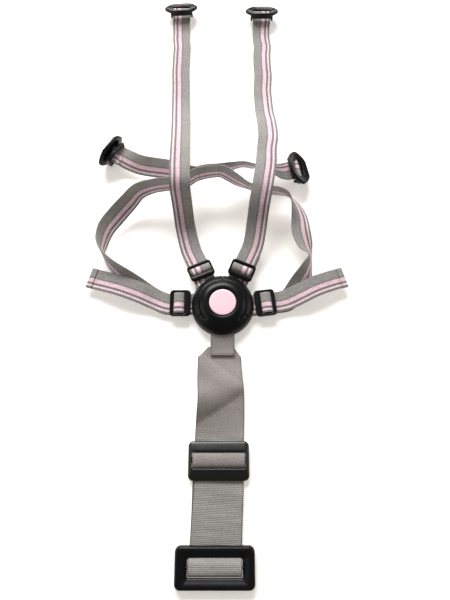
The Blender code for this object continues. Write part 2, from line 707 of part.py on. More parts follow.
def shoulder_rows(strap, heights, run, anchor_name, sign):
    """Rows of a whole shoulder strap above its adjuster, up to its anchor's bar."""
    (s0, z0), (s1, z1) = heights
    end = on_strap(strap, s1, z1)
    side = Vector((-1.0 * sign, 0, 0))
    slope = (z1 - z0) / (s1 - s0)
    parted = (Vector((end.x - 1.5 * sign, end.y + PART_BEYOND, z1 + PART_BEYOND * slope)), side)
    anchor = reversed_side(anchor_end(anchor_name, side))
    upward = [(Vector((x, y, z)),
               side * math.cos(math.radians(roll)) + Vector((0, 0, math.sin(math.radians(roll)))))
              for x, y, z, roll in run]
    return parted, upward, anchor


def shoulder_straps(group, left_hub, right_hub):
    for label, strap, heights, run, sign, hub in (
            ("left", LEFT_SHOULDER, SHOULDER_PLY, LEFT_SHOULDER_RUN, 1, left_hub),
            ("right", RIGHT_SHOULDER, RIGHT_SHOULDER_PLY, RIGHT_SHOULDER_RUN, -1, right_hub)):
        lower = shoulder_end(strap, heights, -sign if label == "left" else sign)
        parted, upward, anchor = shoulder_rows(strap, heights, run, label + "_shoulder_anchor",
                                               sign)
        lower = [(point, -side if side.x * sign > 0 else side) for point, side in lower]
        lower.append(parted)
        finish(webbing(lower, STRAP_WIDTH, STRAP_THICK), label + "_shoulder_strap_end",
               "striped_webbing", group, hub)
        upper = [(parted[0] + Vector((0, 0.5, 0)), parted[1])] + upward + anchor
        finish(webbing(upper, STRAP_WIDTH, STRAP_THICK), label + "_shoulder_strap",
               "striped_webbing", group)


def waist_end(strap, tail, under, parted):
    """Tail, upper ply, half turn round the tongue's bar, lower ply and the part up to the turn."""
    side = across(strap)
    if side.y > 0:
        side = -side
    rows = [(point, s if s.y < 0 else -s) for point, s in stations(tail)]
    rows += [(on_strap(strap, 34, WAIST_PLY_HEIGHT), side), (on_strap(strap, 20, WAIST_PLY_HEIGHT), side),
             (on_strap(strap, 8, WAIST_PLY_HEIGHT + 0.1), side)]
    rows += reversed_side(tongue_loop(strap, side))
    rows += [(on_strap(strap, 8, WAIST_LOWER_PLY), side), (on_strap(strap, 34, WAIST_LOWER_PLY), side)]
    x, y, z, roll = parted
    lower = stations(list(under) + [parted])
    rows += lower[:-1]
    angle = math.radians(roll)
    rows.append((Vector((x, y, z)), Vector((math.cos(angle), 0, math.sin(angle)))))
    return rows


def waist_middle():
    """The waist strap from its turn on the left, round the back, to its turn on the right."""
    rows = stations([(-147.5, 67.6, 13.4, 0)] + list(WAIST_RUN) + [(105.5, 58.6, 12.9, 0)])
    left, right = LEFT_CUT, RIGHT_CUT
    for index, row in ((0, left), (-1, right)):
        angle = math.radians(row[3])
        rows[index] = (rows[index][0], Vector((math.cos(angle), 0, math.sin(angle))))
    return rows


def back_rows():
    """The back strap from the left waist anchor, behind the waist strap, to the right anchor."""
    front = smooth_path(waist_middle(), LOFT_STEPS)
    seam = []
    for (point, side), (following, _) in zip(front, front[1:]):
        if BACK_SEAM[0] <= point.x <= BACK_SEAM[1] and point.y > 140:
            behind = (following - point).cross(side).normalized()
            seam.append((point + behind * SEAM_OFFSET, side))
    left_side, right_side = (
        Vector((-ANCHORS[name][1][1], ANCHORS[name][1][0], 0)).normalized()
        for name in ("left_waist_anchor", "right_waist_anchor"))
    start = anchor_end("left_waist_anchor", left_side)
    end = reversed_side(anchor_end("right_waist_anchor", right_side))
    left = stations([(-143.5, 206.5, 15, 0)] + list(BACK_LEFT_RUN) + [(-32, 160.6, 37.5, 0)])[1:-1]
    right = stations([(-4, 166, 37.5, 0)] + list(BACK_RIGHT_RUN) + [(96.5, 182, 14, 0)])[1:-1]
    return start + left + seam + right + end


def crotch_webbing(group, hub):
    """The tab on the buckle, the wide strap sewn to it, and the loop round the anchor frame's bar."""
    side = Vector((1, 0, 0))
    tab_rows = [(Vector((0, -56, 4.6)), side), (Vector((0, -44, 4.9)), side),
                (on_strap(CROTCH_BAR, 5, 7.6), side)]
    tab_rows += reversed_side(wrap(on_strap(CROTCH_BAR, 0, BAR_HEIGHT), (0, -1, 0), (0, 0, 1), side,
                                   LOOP_RADIUS))
    tab_rows += [(Vector((0, -40, 1.4)), side), (Vector((0, -46, 1.2)), side)]
    finish(webbing(tab_rows, TAB_WIDTH, STRAP_THICK), "crotch_tab", "grey_webbing", group)

    hinge = Vector((-6.3, FRAME_HINGE_Y, CROTCH_UPPER_PLY))
    rows = [(point, side) for point, side in
            ((Vector(row[:3]), Vector((1, 0, 0))) for row in CROTCH_RUN)]
    rows = [(point, Vector((math.cos(math.radians(row[3])), 0, math.sin(math.radians(row[3])))))
            for (point, _), row in zip(rows, CROTCH_RUN)]
    rows.append((hinge + Vector((0, 0.25, 0)), side))
    strap = webbing(rows, CROTCH_WIDTH, CROTCH_THICK)
    for sign, chamfer in ((-1, 14.0), (1, 11.0)):
        corner = box((chamfer * 2, chamfer * 2, 30), (0, 0, 0))
        place(corner, (-1.5 + sign * (CROTCH_WIDTH / 2 + 1.5), -43.0, 0), (1, sign * 1.0, 0),
              (-sign * 1.0, 1, 0))
        cut(strap, corner)
    finish(strap, "crotch_strap", "grey_webbing", group)

    lower = [(Vector((-5.0, -182, CROTCH_LOWER_PLY)), side), (Vector((-5.6, -220, CROTCH_LOWER_PLY)), side),
             (Vector((-6.3, FRAME_HINGE_Y + 0.25, CROTCH_LOWER_PLY)), side)]
    finish(webbing(lower, CROTCH_WIDTH, CROTCH_THICK), "crotch_strap_return", "grey_webbing", group)

    x, y = FRAME_PLACE
    bar = Vector((x, y, FRAME_BAR_HEIGHT))
    radius = 1.6 + 0.3 + CROTCH_THICK / 2
    loop = [(Vector((-6.3, FRAME_HINGE_Y - 0.25, CROTCH_LOWER_PLY)), side),
            (Vector((-6.8, -259, CROTCH_LOWER_PLY)), side), (Vector((x, y + 6.0, 1.3)), side)]
    loop += wrap(bar, (0, 1, 0), (0, 0, 1), side, radius, spread=0.8)
    loop += [(Vector((x, y + 8.0, 3.4)), side), (Vector((-6.9, -261, CROTCH_UPPER_PLY)), side),
             (Vector((-6.3, FRAME_HINGE_Y - 0.25, CROTCH_UPPER_PLY)), side)]
    finish(webbing(loop, CROTCH_WIDTH, CROTCH_THICK), "crotch_anchor_webbing", "grey_webbing", group,
           hub)


def build():
    clear_scene()
    harness = collection("pushchair_harness")

    finish(back_shell(), "buckle_back_shell", "black_plastic", harness)
    finish(front_cover(), "buckle_front_cover", "black_plastic", harness)
    screws(harness)
    button_hub = pivot("release_button_axis", (0, 0, DOME_TOP))
    finish(release_button(), "release_button", "black_plastic", harness, button_hub)
    finish(badge(), "button_badge", "pink_badge", harness, button_hub)
    finish(latch_plate(), "latch_plate", "slate_plastic", harness, button_hub)
    finish(return_spring(), "button_return_spring", "steel", harness)

    left_hub = pivot("left_tongue_axis", (-RING_INNER, 0, BLADE_BOTTOM))
    right_hub = pivot("right_tongue_axis", (RING_INNER, 0, BLADE_BOTTOM))
    left = tongue(90, LOWER_RIM_FROM, -1, LEFT_SHOULDER, LEFT_WAIST)
    finish(left, "left_tongue", "black_plastic", harness, left_hub)
    right = tongue(LOWER_RIM_TO - 360, 90, 1, RIGHT_SHOULDER, RIGHT_WAIST)
    finish(right, "right_tongue", "black_plastic", harness, right_hub)

    flat = ((0.0, WAIST_PLY_HEIGHT), (1.0, WAIST_PLY_HEIGHT))
    adjuster("left_shoulder_adjuster", LEFT_SHOULDER, SHOULDER_ADJUSTER, LEFT_SHOULDER_SEAT,
             SHOULDER_PLY, harness, left_hub)
    adjuster("right_shoulder_adjuster", RIGHT_SHOULDER, SHOULDER_ADJUSTER, RIGHT_SHOULDER_SEAT,
             RIGHT_SHOULDER_PLY, harness, right_hub)
    adjuster("left_waist_adjuster", LEFT_WAIST, WAIST_ADJUSTER, LEFT_WAIST_SEAT, flat, harness, left_hub)
    adjuster("right_waist_adjuster", RIGHT_WAIST, WAIST_ADJUSTER, RIGHT_WAIST_SEAT, flat, harness,
             right_hub)

    shoulder_straps(harness, left_hub, right_hub)
    finish(webbing(waist_end(LEFT_WAIST, LEFT_TAIL, LEFT_UNDER, LEFT_CUT), STRAP_WIDTH, STRAP_THICK),
           "left_waist_strap_end", "striped_webbing", harness, left_hub)
    finish(webbing(waist_end(RIGHT_WAIST, RIGHT_TAIL, RIGHT_UNDER, RIGHT_CUT), STRAP_WIDTH,
                   STRAP_THICK), "right_waist_strap_end", "striped_webbing", harness, right_hub)
    finish(webbing(waist_middle(), STRAP_WIDTH, STRAP_THICK), "waist_strap", "striped_webbing", harness)
    finish(webbing(back_rows(), STRAP_WIDTH, STRAP_THICK), "back_strap", "striped_webbing", harness)

    frame_hub = pivot("crotch_anchor_axis", (-6.3, FRAME_HINGE_Y, 3.6))
    crotch_webbing(harness, frame_hub)
    crotch_slider(harness)
    finish(crotch_frame(), "crotch_anchor_frame", "slate_plastic", harness, frame_hub)
    anchors(harness)


build()
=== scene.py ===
"""Five-point pushchair harness: striped webbing, buckle, adjusters, anchors and crotch strap.

Lengths are in millimetres up to the point where a mesh is made, and the frame is in metres. The
origin is the centre of the buckle's flat back, +Y runs towards the shoulder anchors, +Z is up.
"""

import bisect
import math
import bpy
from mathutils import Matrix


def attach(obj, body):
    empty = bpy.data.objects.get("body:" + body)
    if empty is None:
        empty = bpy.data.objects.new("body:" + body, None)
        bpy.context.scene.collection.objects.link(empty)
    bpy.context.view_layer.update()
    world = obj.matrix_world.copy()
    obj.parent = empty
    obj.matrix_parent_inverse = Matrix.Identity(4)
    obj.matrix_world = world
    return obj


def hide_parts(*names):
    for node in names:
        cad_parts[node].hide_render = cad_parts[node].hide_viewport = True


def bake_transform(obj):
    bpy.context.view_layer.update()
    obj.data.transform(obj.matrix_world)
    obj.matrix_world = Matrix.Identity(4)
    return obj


bl_info = {
    "name": "Pushchair Harness",
    "version": (1, 0, 0),
    "blender": (4, 5, 0),
    "location": "3D Viewport > Sidebar > Harness",
    "description": "Builds a five-point pushchair harness round a loaded frame",
    "category": "Object",
}

import bmesh
import bpy
from mathutils import Matrix, Vector, noise

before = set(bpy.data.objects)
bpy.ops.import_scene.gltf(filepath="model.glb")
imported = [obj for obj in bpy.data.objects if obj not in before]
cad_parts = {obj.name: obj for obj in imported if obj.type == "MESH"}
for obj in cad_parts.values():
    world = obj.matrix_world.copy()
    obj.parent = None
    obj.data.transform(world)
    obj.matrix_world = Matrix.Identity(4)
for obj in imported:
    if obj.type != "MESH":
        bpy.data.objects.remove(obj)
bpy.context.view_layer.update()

MM = 0.001
UP = Vector((0, 0, 1))
BODY = "harness_body"

# Webbing
STRAP_WIDTH = 25.0
STRAP_THICK = 1.3
CROTCH_WIDTH = 53.0
CROTCH_THICK = 1.4
TAB_WIDTH = 27.5
STRAP_STEP = 1.7  # longest stretch between two sections
STRAP_COLUMNS = 12
EDGE_SOFTNESS = 0.38
HEM_GAP = 0.12  # between the plies of a hem
STITCH_MARGIN = 1.6
STITCH_LIFT = 0.06

# Buckle
SPIN_STEPS = 144  # in a whole turn
BUTTON_RADIUS = 16.0
BADGE_RADIUS = 15.75
LOWER_RIM = (210.16, 329.84)  # degrees, anticlockwise from +X
BAR_HEIGHT = 5.4
BAR_RADIUS = 1.6
LOOP_RADIUS = 2.55
POCKET = (26.4, 9.4)
BLADE_WIDTH = 18.0
BLADE_THICK = 2.5
BLADE_BOTTOM = 10.4
BLADE_TIP = 9.0

# A strap at the buckle: its bar's centre and the direction in which it leaves
LEFT_SHOULDER = ((-18.9, 25.8), (-0.397, 0.918))
RIGHT_SHOULDER = ((16.0, 26.5), (0.400, 0.917))
LEFT_WAIST = ((-31.0, 2.0), (-1.0, 0.0))
RIGHT_WAIST = ((31.0, 0.1), (0.993, 0.119))
CROTCH_BAR = ((0.0, -31.0), (0.0, -1.0))

# Adjusters: width across the strap, length, thickness, window length
SHOULDER_ADJUSTER = (30.5, 21.0, 4.2, 10.4)
WAIST_ADJUSTER = (32.0, 24.5, 4.2, 12.6)
LEFT_PLY = ((6.0, 7.4), (60.0, 3.2))  # along the strap and height, at both ends of its straight
RIGHT_PLY = ((6.0, 7.4), (60.0, 16.0))
WAIST_PLY = ((0.0, 6.2), (1.0, 6.2))
WAIST_UPPER = 6.2
WAIST_LOWER = 2.9
ADJUSTER_LIFT = 1.0
ARCH_STEPS = 10
ARCH_FULLNESS = 0.8  # under 1 makes an arch fuller than half a sine

# Crotch hardware
SLIDER = (65.0, 40.0, 16.0)  # width, length, window length
SLIDER_PLACE = (-4.0, -173.0, 3.7)
LOWER_PLY = 0.95
FRAME = (80.5, 39.5, 17.0)
FRAME_PLACE = (-7.5, -273.5, 0.3)
FRAME_BAR_HEIGHT = 4.6

# Anchors
FLANGE = (48.0, 30.0)  # length, width
FLANGE_SLOT = (26.8, 13.0)
NARROW_SLOT = (26.8, 6.4)  # the upright anchor, which is seen nearly edge-on
FLANGE_BOTTOM = 1.5
ANCHOR_BAR_RADIUS = 1.8
ANCHOR_LOOP = 2.8
UPRIGHT_TILT = 60.0  # anchors tilted further than this stand nearly on edge
ANCHORS = {  # bar's centre, direction of the strap's pull, tilt of the outer face in degrees
    "left_shoulder_anchor": ((-62.0, 457.0, 10.2), (-0.08, 1.0), 21.0),
    "right_shoulder_anchor": ((57.0, 451.0, 10.2), (0.0, 1.0), 21.0),
    "left_waist_anchor": ((-143.5, 206.5, 15.4), (-0.85, 0.52), 84.0),
    "right_waist_anchor": ((95.5, 181.5, 14.0), (0.98, 0.20), 34.0),
}

# Free webbing: x, y, z and the roll of the striped edge in degrees
LEFT_SHOULDER_RUN = (
    (-47, 104, 5.2, 0), (-49, 117, 14, 0), (-50, 126, 31, 0), (-51, 135, 46, 0), (-51, 146, 52, 0),
    (-52, 167, 50, 0), (-53.5, 208, 37, -3), (-56, 255, 18, -2), (-58, 285, 6, 0),
    (-59, 310, 2.6, 0),
    (-60, 372, 2.4, 1), (-61, 420, 3.4, 0), (-61.6, 438, 6.6, 0))
RIGHT_SHOULDER_RUN = (
    (41.6, 101, 27, 0), (44, 117, 42, 0), (48, 138, 52, 0), (52, 165, 50, 4), (54, 189, 45, 14),
    (57, 214, 40, 2), (57, 245, 27, -2), (56.5, 276, 10, 0), (56, 304, 3.0, 0), (56, 372, 2.4, 0),
    (55.5, 414, 3.4, 0), (56.4, 432, 6.6, 0))
LEFT_KINKS = ((412, -0.4, 6), (396, 0.5, 8), (352, -0.7, 16))  # y, mm towards +X, spread
RIGHT_KINKS = ((430, -0.5, 8), (397, 1.7, 9), (345, 0.8, 12), (318, -0.8, 12))
LEFT_TAIL = (
    (-160, 34.5, 7.0, 180), (-146, 30.5, 9.0, 180), (-122, 23, 12.5, 180), (-98, 14.5, 11.0, 180),
    (-80, 7.5, 6.7, 180))
RIGHT_TAIL = (
    (146, 34.5, 8.0, 0), (132, 30.5, 10.5, 0), (110, 22, 13.0, 0), (92, 13.5, 11.5, 0),
    (76, 7.0, 6.6, 0))
LEFT_UNDER = (
    (-78, 7.5, 3.0, 180), (-92, 15.5, 4.6, 188), (-112, 30, 9.0, 218), (-129, 44, 12.8, 246),
    (-140, 55, 13.2, 258), (-147.5, 67, 13.4, 270))
RIGHT_UNDER = (
    (76, 6.5, 3.0, 0), (84, 15, 5.0, -8), (92, 28, 9.0, -28), (100, 42, 12.6, -50),
    (105.5, 58, 12.9, -72))
WAIST_RUN = (
    (-148, 80, 13.2, -70), (-143, 98, 14, -55), (-131, 115, 15.5, -50), (-117, 130, 20, -58),
    (-104, 141, 27, -72), (-86, 145.5, 32, -82), (-66, 146.5, 35.5, -84), (-49, 149, 37, -84),
    (-40, 153, 37.5, -83), (-32, 158, 37.5, -86), (-18, 162, 37.5, -88), (-4, 163, 37.5, -89),
    (4, 160, 37.5, -84), (16, 152, 37, -88), (34, 142.5, 35.5, -104), (52, 139, 33.5, -102),
    (66, 139, 31.5, -100), (79, 136, 28, -108), (89, 126, 22, -128), (94.5, 111, 17.5, -150),
    (96, 92, 16.5, -165), (100, 75, 14.5, -148))
WAIST_MEETING = 10  # row of WAIST_RUN where the two halves meet under the back strap's seam
BACK_LEFT_RUN = (
    (-131, 200.5, 14.6, -6), (-122, 195.5, 13.6, -22), (-107, 189, 12.8, -38),
    (-88, 184, 14.4, -44),
    (-69, 177, 21, -60), (-50, 166, 32.5, -78))
BACK_RIGHT_RUN = (
    (13, 171, 36, -102), (27, 175, 33.5, -110), (40, 174.5, 30, -112), (54, 176, 24, -132),
    (67, 177, 17.6, -158), (78, 178, 14.2, -176))
BACK_SEAM = (-33.0, -3.0)
SEAM_OFFSET = STRAP_THICK + 0.45
CROTCH_RUN = (
    (-1.5, -49, 2.6, 0), (-1.4, -66, 3.0, 0), (-1.2, -88, 6.0, 4), (-1.2, -108, 7.0, -5),
    (-2.4, -130, 4.4, -3), (-3.2, -148, 2.7, 0), (-4.2, -200, 2.65, 0), (-5.6, -232, 2.65, 0),
    (-6.3, -247, 2.65, 0), (-6.9, -259, 2.65, 0))

LIGHTS = (  # name, place, width, depth, watts, colour; each faces the buckle
    ("window", (-0.35, 1.75, 1.30), 1.5, 0.9, 72.0, (1.0, 0.985, 0.965)),
    ("left_fill", (-1.5, -0.1, 0.9), 1.2, 0.7, 5.0, (1.0, 0.96, 0.92)),
    ("right_fill", (1.5, 0.2, 0.8), 1.0, 0.6, 4.0, (1.0, 0.96, 0.92)),
)

# Camera, above a point below the buckle; tilt in degrees, lens in millimetres
CAMERA_PLACE = (0.0027, -0.1585, 0.515)
CAMERA_TILT = 18.0
CAMERA_LENS = 27.06

WORLD_COLOUR = (1.0, 0.94, 0.86, 1.0)
WORLD_STRENGTH = 0.22
FLOOR_GLOW = 0.38
FLOOR_GLOW_COLOUR = (1.0, 0.965, 0.915, 1.0)


class HarnessSizes(bpy.types.PropertyGroup):
    """Sizes that change how the trim of the harness looks."""

    stitch_length: bpy.props.FloatProperty(
        name="Stitch length", description="Length of one lockstitch on the webbing",
        default=0.0024, min=0.001, max=0.006, unit="LENGTH")
    stitch_gap: bpy.props.FloatProperty(
        name="Stitch pitch", description="Distance from one stitch to the next",
        default=0.0031, min=0.0015, max=0.01, unit="LENGTH")
    hem_length: bpy.props.FloatProperty(
        name="Hem length", description="Webbing folded under at the end of each waist tail",
        default=0.0068, min=0.002, max=0.02, unit="LENGTH")
    rib_pitch: bpy.props.FloatProperty(
        name="Rib pitch", description="Distance between two cross ribs of the narrow webbing",
        default=0.00115, min=0.0005, max=0.004, unit="LENGTH")
    wide_rib_pitch: bpy.props.FloatProperty(
        name="Wide rib pitch", description="Distance between two cross ribs of the crotch webbing",
        default=0.0017, min=0.0005, max=0.006, unit="LENGTH")


class HarnessColours(bpy.types.PropertyGroup):
    """Colours of the webbing and the mouldings, as linear values."""

    grey: bpy.props.FloatVectorProperty(
        name="Webbing grey", description="Ground of the webbing", subtype="COLOR", size=3,
        default=(0.300, 0.292, 0.280), min=0.0, max=1.0)
    pink: bpy.props.FloatVectorProperty(
        name="Pink stripe", description="Broad stripe of the webbing", subtype="COLOR", size=3,
        default=(0.80, 0.60, 0.675), min=0.0, max=1.0)
    white: bpy.props.FloatVectorProperty(
        name="Pale stripe", description="Narrow pale stripe beside the edge", subtype="COLOR",
        size=3, default=(0.78, 0.69, 0.715), min=0.0, max=1.0)
    mauve: bpy.props.FloatVectorProperty(
        name="Mauve lines", description="Thin lines beside the pink stripe", subtype="COLOR",
        size=3, default=(0.235, 0.155, 0.187), min=0.0, max=1.0)
    plastic: bpy.props.FloatVectorProperty(
        name="Black plastic", description="Buckle, adjusters and anchors", subtype="COLOR", size=3,
        default=(0.0030, 0.0034, 0.0040), min=0.0, max=1.0)
    badge: bpy.props.FloatVectorProperty(
        name="Button disc", description="Disc on the release button", subtype="COLOR", size=3,
        default=(0.90, 0.63, 0.715), min=0.0, max=1.0)


# Materials


class Value:
    """A shader socket that takes part in Python sums."""

    def __init__(self, finish, socket):
        self.finish = finish
        self.socket = socket

    def sum(self, operation, first, second=None):
        values = {0: first} if second is None else {0: first, 1: second}
        return self.finish.node("ShaderNodeMath", {"operation": operation}, values)

    def __add__(self, other):
        return self.sum("ADD", self, other)

    __radd__ = __add__

    def __sub__(self, other):
        return self.sum("SUBTRACT", self, other)

    def __rsub__(self, other):
        return self.sum("SUBTRACT", other, self)

    def __mul__(self, other):
        return self.sum("MULTIPLY", self, other)

    __rmul__ = __mul__

    def __truediv__(self, other):
        return self.sum("DIVIDE", self, other)

    def __pow__(self, other):
        return self.sum("POWER", self, other)

    def __mod__(self, other):
        return self.sum("FLOORED_MODULO", self, other)

    def floor(self):
        return self.sum("FLOOR", self)

    def sine(self):
        return self.sum("SINE", self)

    def size(self):
        return self.sum("ABSOLUTE", self)

    def above(self, other):
        return self.sum("GREATER_THAN", self, other)


class Finish:
    """One material, its Principled shader and the nodes in front of it."""

    def __init__(self, name, **constants):
        self.material = bpy.data.materials.new(name)
        self.material.use_nodes = True
        self.tree = self.material.node_tree
        self.shader = self.tree.nodes["Principled BSDF"]
        for words, value in constants.items():
            self.shader.inputs[words.replace("_", " ")].default_value = value

    def node(self, kind, settings=None, values=None, output=0):
        """A node of that kind with its settings first, then the values or links of its sockets."""
        made = self.tree.nodes.new(kind)
        for key, setting in (settings or {}).items():
            if key == "stops":
                ramp = made.color_ramp
                while len(ramp.elements) < len(setting):
                    ramp.elements.new(1.0)
                for element, (position, colour) in zip(ramp.elements, setting):
                    element.position = position
                    element.color = (*colour, 1.0)
            else:
                setattr(made, key, setting)
        for key, value in (values or {}).items():
            self.feed(made.inputs[key], value)
        return Value(self, made.outputs[output])

    def feed(self, socket, value):
        if isinstance(value, Value):
            self.tree.links.new(value.socket, socket)
        elif socket.type == "RGBA":
            socket.default_value = (*value, 1.0)
        else:
            socket.default_value = value

    def mix(self, share, first, second, blend="MIX"):
        return self.node("ShaderNodeMix", {"data_type": "RGBA", "blend_type": blend},
                         {0: share, 6: first, 7: second}, 2)

    def shaded(self, base, tone_and_groove_shade):
        grey = self.node("ShaderNodeCombineColor", None, {0: tone_and_groove_shade, 1: tone_and_groove_shade, 2: tone_and_groove_shade})
        return self.mix(1.0, base, grey, "MULTIPLY")

    def noise(self, place, scale, detail=2.0, rough=0.5):
        return self.node("ShaderNodeTexNoise", {"noise_dimensions": "3D"},
                         {"Vector": place, "Scale": scale, "Detail": detail, "Roughness": rough})

    def object_place(self):
        return self.node("ShaderNodeTexCoord", output=3)

    def along_and_across(self):
        """Share of the width from the striped edge, and metres along the webbing."""
        place = self.node("ShaderNodeUVMap", {"uv_map": "webbing"})
        across = self.node("ShaderNodeSeparateXYZ", None, {0: place}, 0)
        along = self.node("ShaderNodeSeparateXYZ", None, {0: place}, 1)
        return across, along

    def surface(self, colour=None, roughness=None, height=None, depth=0.0003, strength=0.6):
        for words, value in (("Base Color", colour), ("Roughness", roughness)):
            if value is not None:
                self.feed(self.shader.inputs[words], value)
        if height is not None:
            bump = self.node("ShaderNodeBump", None,
                             {"Strength": strength, "Distance": depth, "Height": height})
            self.feed(self.shader.inputs["Normal"], bump)
        return self.material


def woven(across, along, columns, pitch):
    """Height of a plain weave: rows of short floats, each column half a rib off its neighbour."""
    column = across * columns
    parity = column.floor() % 2.0
    rib = ((along / pitch + parity * 0.5) * (2 * math.pi)).sine() * 0.5 + 0.5
    groove = 1.0 - ((column % 1.0) * 2.0 - 1.0).size() ** 3.0
    return rib * groove


def striped_finish(sizes, colours):
    finish = Finish("webbing_striped", Sheen_Weight=0.18, Sheen_Roughness=0.5)
    across, along = finish.along_and_across()
    grey, pink, white, mauve = (tuple(c) for c in (colours.grey, colours.pink, colours.white,
                                                   colours.mauve))
    edge = tuple(0.5 * g + 0.36 * m for g, m in zip(grey, mauve))
    soft_mauve = tuple(0.5 * g + 0.42 * m for g, m in zip(grey, mauve))
    stops, blur = [(0.0, edge)], 0.012
    for limit, before, after in ((0.105, edge, white), (0.20, white, mauve), (0.31, mauve, pink),
                                 (0.50, pink, soft_mauve), (0.585, soft_mauve, grey)):
        stops += [(limit - blur, before), (limit + blur, after)]
    base = finish.node("ShaderNodeValToRGB", {"stops": stops}, {"Fac": across})
    height = woven(across, along, 27.0, sizes.rib_pitch)
    place = finish.object_place()
    cloud = finish.noise(place, 38.0, 3.0)
    fuzz = finish.noise(place, 2600.0, 2.0)
    speck = finish.noise(place, 620.0, 2.0)
    ends = finish.noise(finish.node("ShaderNodeCombineXYZ", None,
                                    {0: across * 26.0, 1: along * 150.0}), 1.0, 2.0, 0.6)
    # the height term darkens the gaps between the weave's ribs: painted shade; the noise terms vary
    # the tone at random
    tone_and_groove_shade = height * 0.24 + cloud * 0.3 + fuzz * 0.14 + speck * 0.9 + ends * 0.8 - 0.19
    colour = finish.shaded(base, tone_and_groove_shade)
    selvedge = ((across - 0.5).size() * 2.0).above(0.955)
    colour = finish.mix(selvedge * 0.35, colour, edge)
    return finish.surface(colour, 0.72 + fuzz * 0.2, height + fuzz * 0.35, 0.00032, 0.75)


def wide_finish(sizes, colours):
    """Grey crotch webbing: cross ribs, with a diagonal twill over the upper part."""
    finish = Finish("webbing_grey", Sheen_Weight=0.2, Sheen_Roughness=0.45)
    across, along = finish.along_and_across()
    ribs = ((along / sizes.wide_rib_pitch) * (2 * math.pi)).sine() * 0.5 + 0.5
    fine = woven(across, along, 52.0, sizes.wide_rib_pitch * 0.62)
    twill = ((along / 0.0026 + across * 16.0) * (2 * math.pi)).sine() * 0.5 + 0.5
    upper = 1.0 - finish.node("ShaderNodeMapRange", {"interpolation_type": "SMOOTHSTEP"},
                              {"Value": along, "From Min": 0.075, "From Max": 0.115})
    height = fine * 0.45 + twill * upper * 0.6 + ribs * (1.0 - upper) * 0.75
    place = finish.object_place()
    cloud = finish.noise(place, 30.0, 3.0)
    streak = finish.noise(finish.node("ShaderNodeCombineXYZ", None,
                                      {0: across * 1.5, 1: along * 420.0}), 1.0, 2.0)
    fuzz = finish.noise(place, 2400.0, 2.0)
    speck = finish.noise(place, 760.0, 2.0)
    # the height and twill terms darken the grooves of the ribs and the twill: painted shade; the
    # noise terms vary the tone at random
    tone_and_groove_shade = (height * 0.5 + twill * upper * 0.12 + cloud * 0.3
             + streak * (1.0 - upper * 0.7) * 0.7 + fuzz * 0.14 + speck * 0.8 - 0.14)
    grey = tuple(0.94 * c for c in colours.grey)
    base = finish.mix(upper * 0.75, grey, (grey[0] * 1.20, grey[1] * 1.11, grey[2] * 1.14))
    colour = finish.shaded(base, tone_and_groove_shade)
    # painted shadow: a near-black band along both edges, the thin shade that the webbing's edges
    # throw
    rim = ((across - 0.5).size() * 2.0).above(0.962)
    colour = finish.mix(rim * 0.75, colour, (0.06, 0.056, 0.055))
    return finish.surface(colour, 0.7 + fuzz * 0.2, height + fuzz * 0.3, 0.0004, 0.7)


def plastic_finish(name, colour, roughness, shine):
    """Moulded plastic: fine spark-eroded grain, rubbed patches and a faint dusting."""
    finish = Finish(name, Specular_IOR_Level=shine)
    place = finish.object_place()
    grit = finish.noise(place, 1900.0, 3.0)
    patches = finish.noise(place, 55.0, 4.0)
    scuffs = finish.noise(place, 420.0, 5.0, 0.7)
    rubbed = finish.node("ShaderNodeMapRange", {"interpolation_type": "SMOOTHSTEP"},
                         {"Value": scuffs, "From Min": 0.58, "From Max": 0.78})
    paler = tuple(c * 1.7 + 0.003 for c in colour)
    tint = finish.mix(patches * 0.35 + rubbed * 0.25, colour, paler)
    return finish.surface(tint, patches * 0.16 + rubbed * 0.12 + (roughness - 0.1),
                          grit + scuffs * 0.25, 0.00008, 0.45)


def badge_finish(colours):
    finish = Finish("badge_pink", Coat_Weight=0.25, Coat_Roughness=0.25)
    place = finish.object_place()
    speckle = finish.noise(place, 900.0, 3.0)
    cloud = finish.noise(place, 70.0, 3.0)
    pink = tuple(colours.badge)
    paler = tuple(min(1.0, c * 1.05 + 0.03) for c in pink)
    tint = finish.mix(cloud * 0.6 + speckle * 0.4, pink, paler)
    return finish.surface(tint, 0.3 + speckle * 0.16, speckle, 0.00005, 0.3)


def steel_finish():
    finish = Finish("bright_steel", Metallic=1.0)
    place = finish.object_place()
    brushed = finish.noise(place, 1400.0, 3.0)
    stains = finish.noise(place, 120.0, 3.0)
    tint = finish.mix(stains, (0.56, 0.56, 0.57), (0.66, 0.66, 0.67))
    return finish.surface(tint, 0.24 + brushed * 0.16, brushed, 0.00005, 0.3)


def thread_finish(name, colour):
    finish = Finish(name, Sheen_Weight=0.2)
    place = finish.object_place()
    twist = finish.noise(place, 3500.0, 2.0)
    darker = tuple(c * 0.6 for c in colour)
    return finish.surface(finish.mix(twist, darker, colour), 0.6 + twist * 0.2, twist, 0.0001, 0.5)


FINISHES = {}


def finish_named(name):
    """The material of that name, made when it is first asked for."""
    if name in FINISHES:
        return FINISHES[name]
    sizes, colours = bpy.context.scene.harness_sizes, bpy.context.scene.harness_colours
    black = tuple(colours.plastic)
    # the slate finish is the black plastic made 1.3 times paler and shinier; its paler colour is
    # painted sheen, the window's reflection on the slider's rails
    painted_sheen_black = tuple(c * 1.3 for c in black)
    makers = {
        "striped_webbing": lambda: striped_finish(sizes, colours),
        "grey_webbing": lambda: wide_finish(sizes, colours),
        "black_plastic": lambda: plastic_finish("plastic_black", black, 0.33, 0.2),
        "slate_plastic": lambda: plastic_finish("plastic_painted_sheen", painted_sheen_black, 0.34, 0.5),
        "pink_badge": lambda: badge_finish(colours),
        "steel": steel_finish,
        "grey_thread": lambda: thread_finish("grey_thread", (0.13, 0.12, 0.12)),
        "dark_thread": lambda: thread_finish("dark_thread", (0.03, 0.028, 0.028)),
    }
    FINISHES[name] = makers[name]()
    return FINISHES[name]


# Mesh helpers


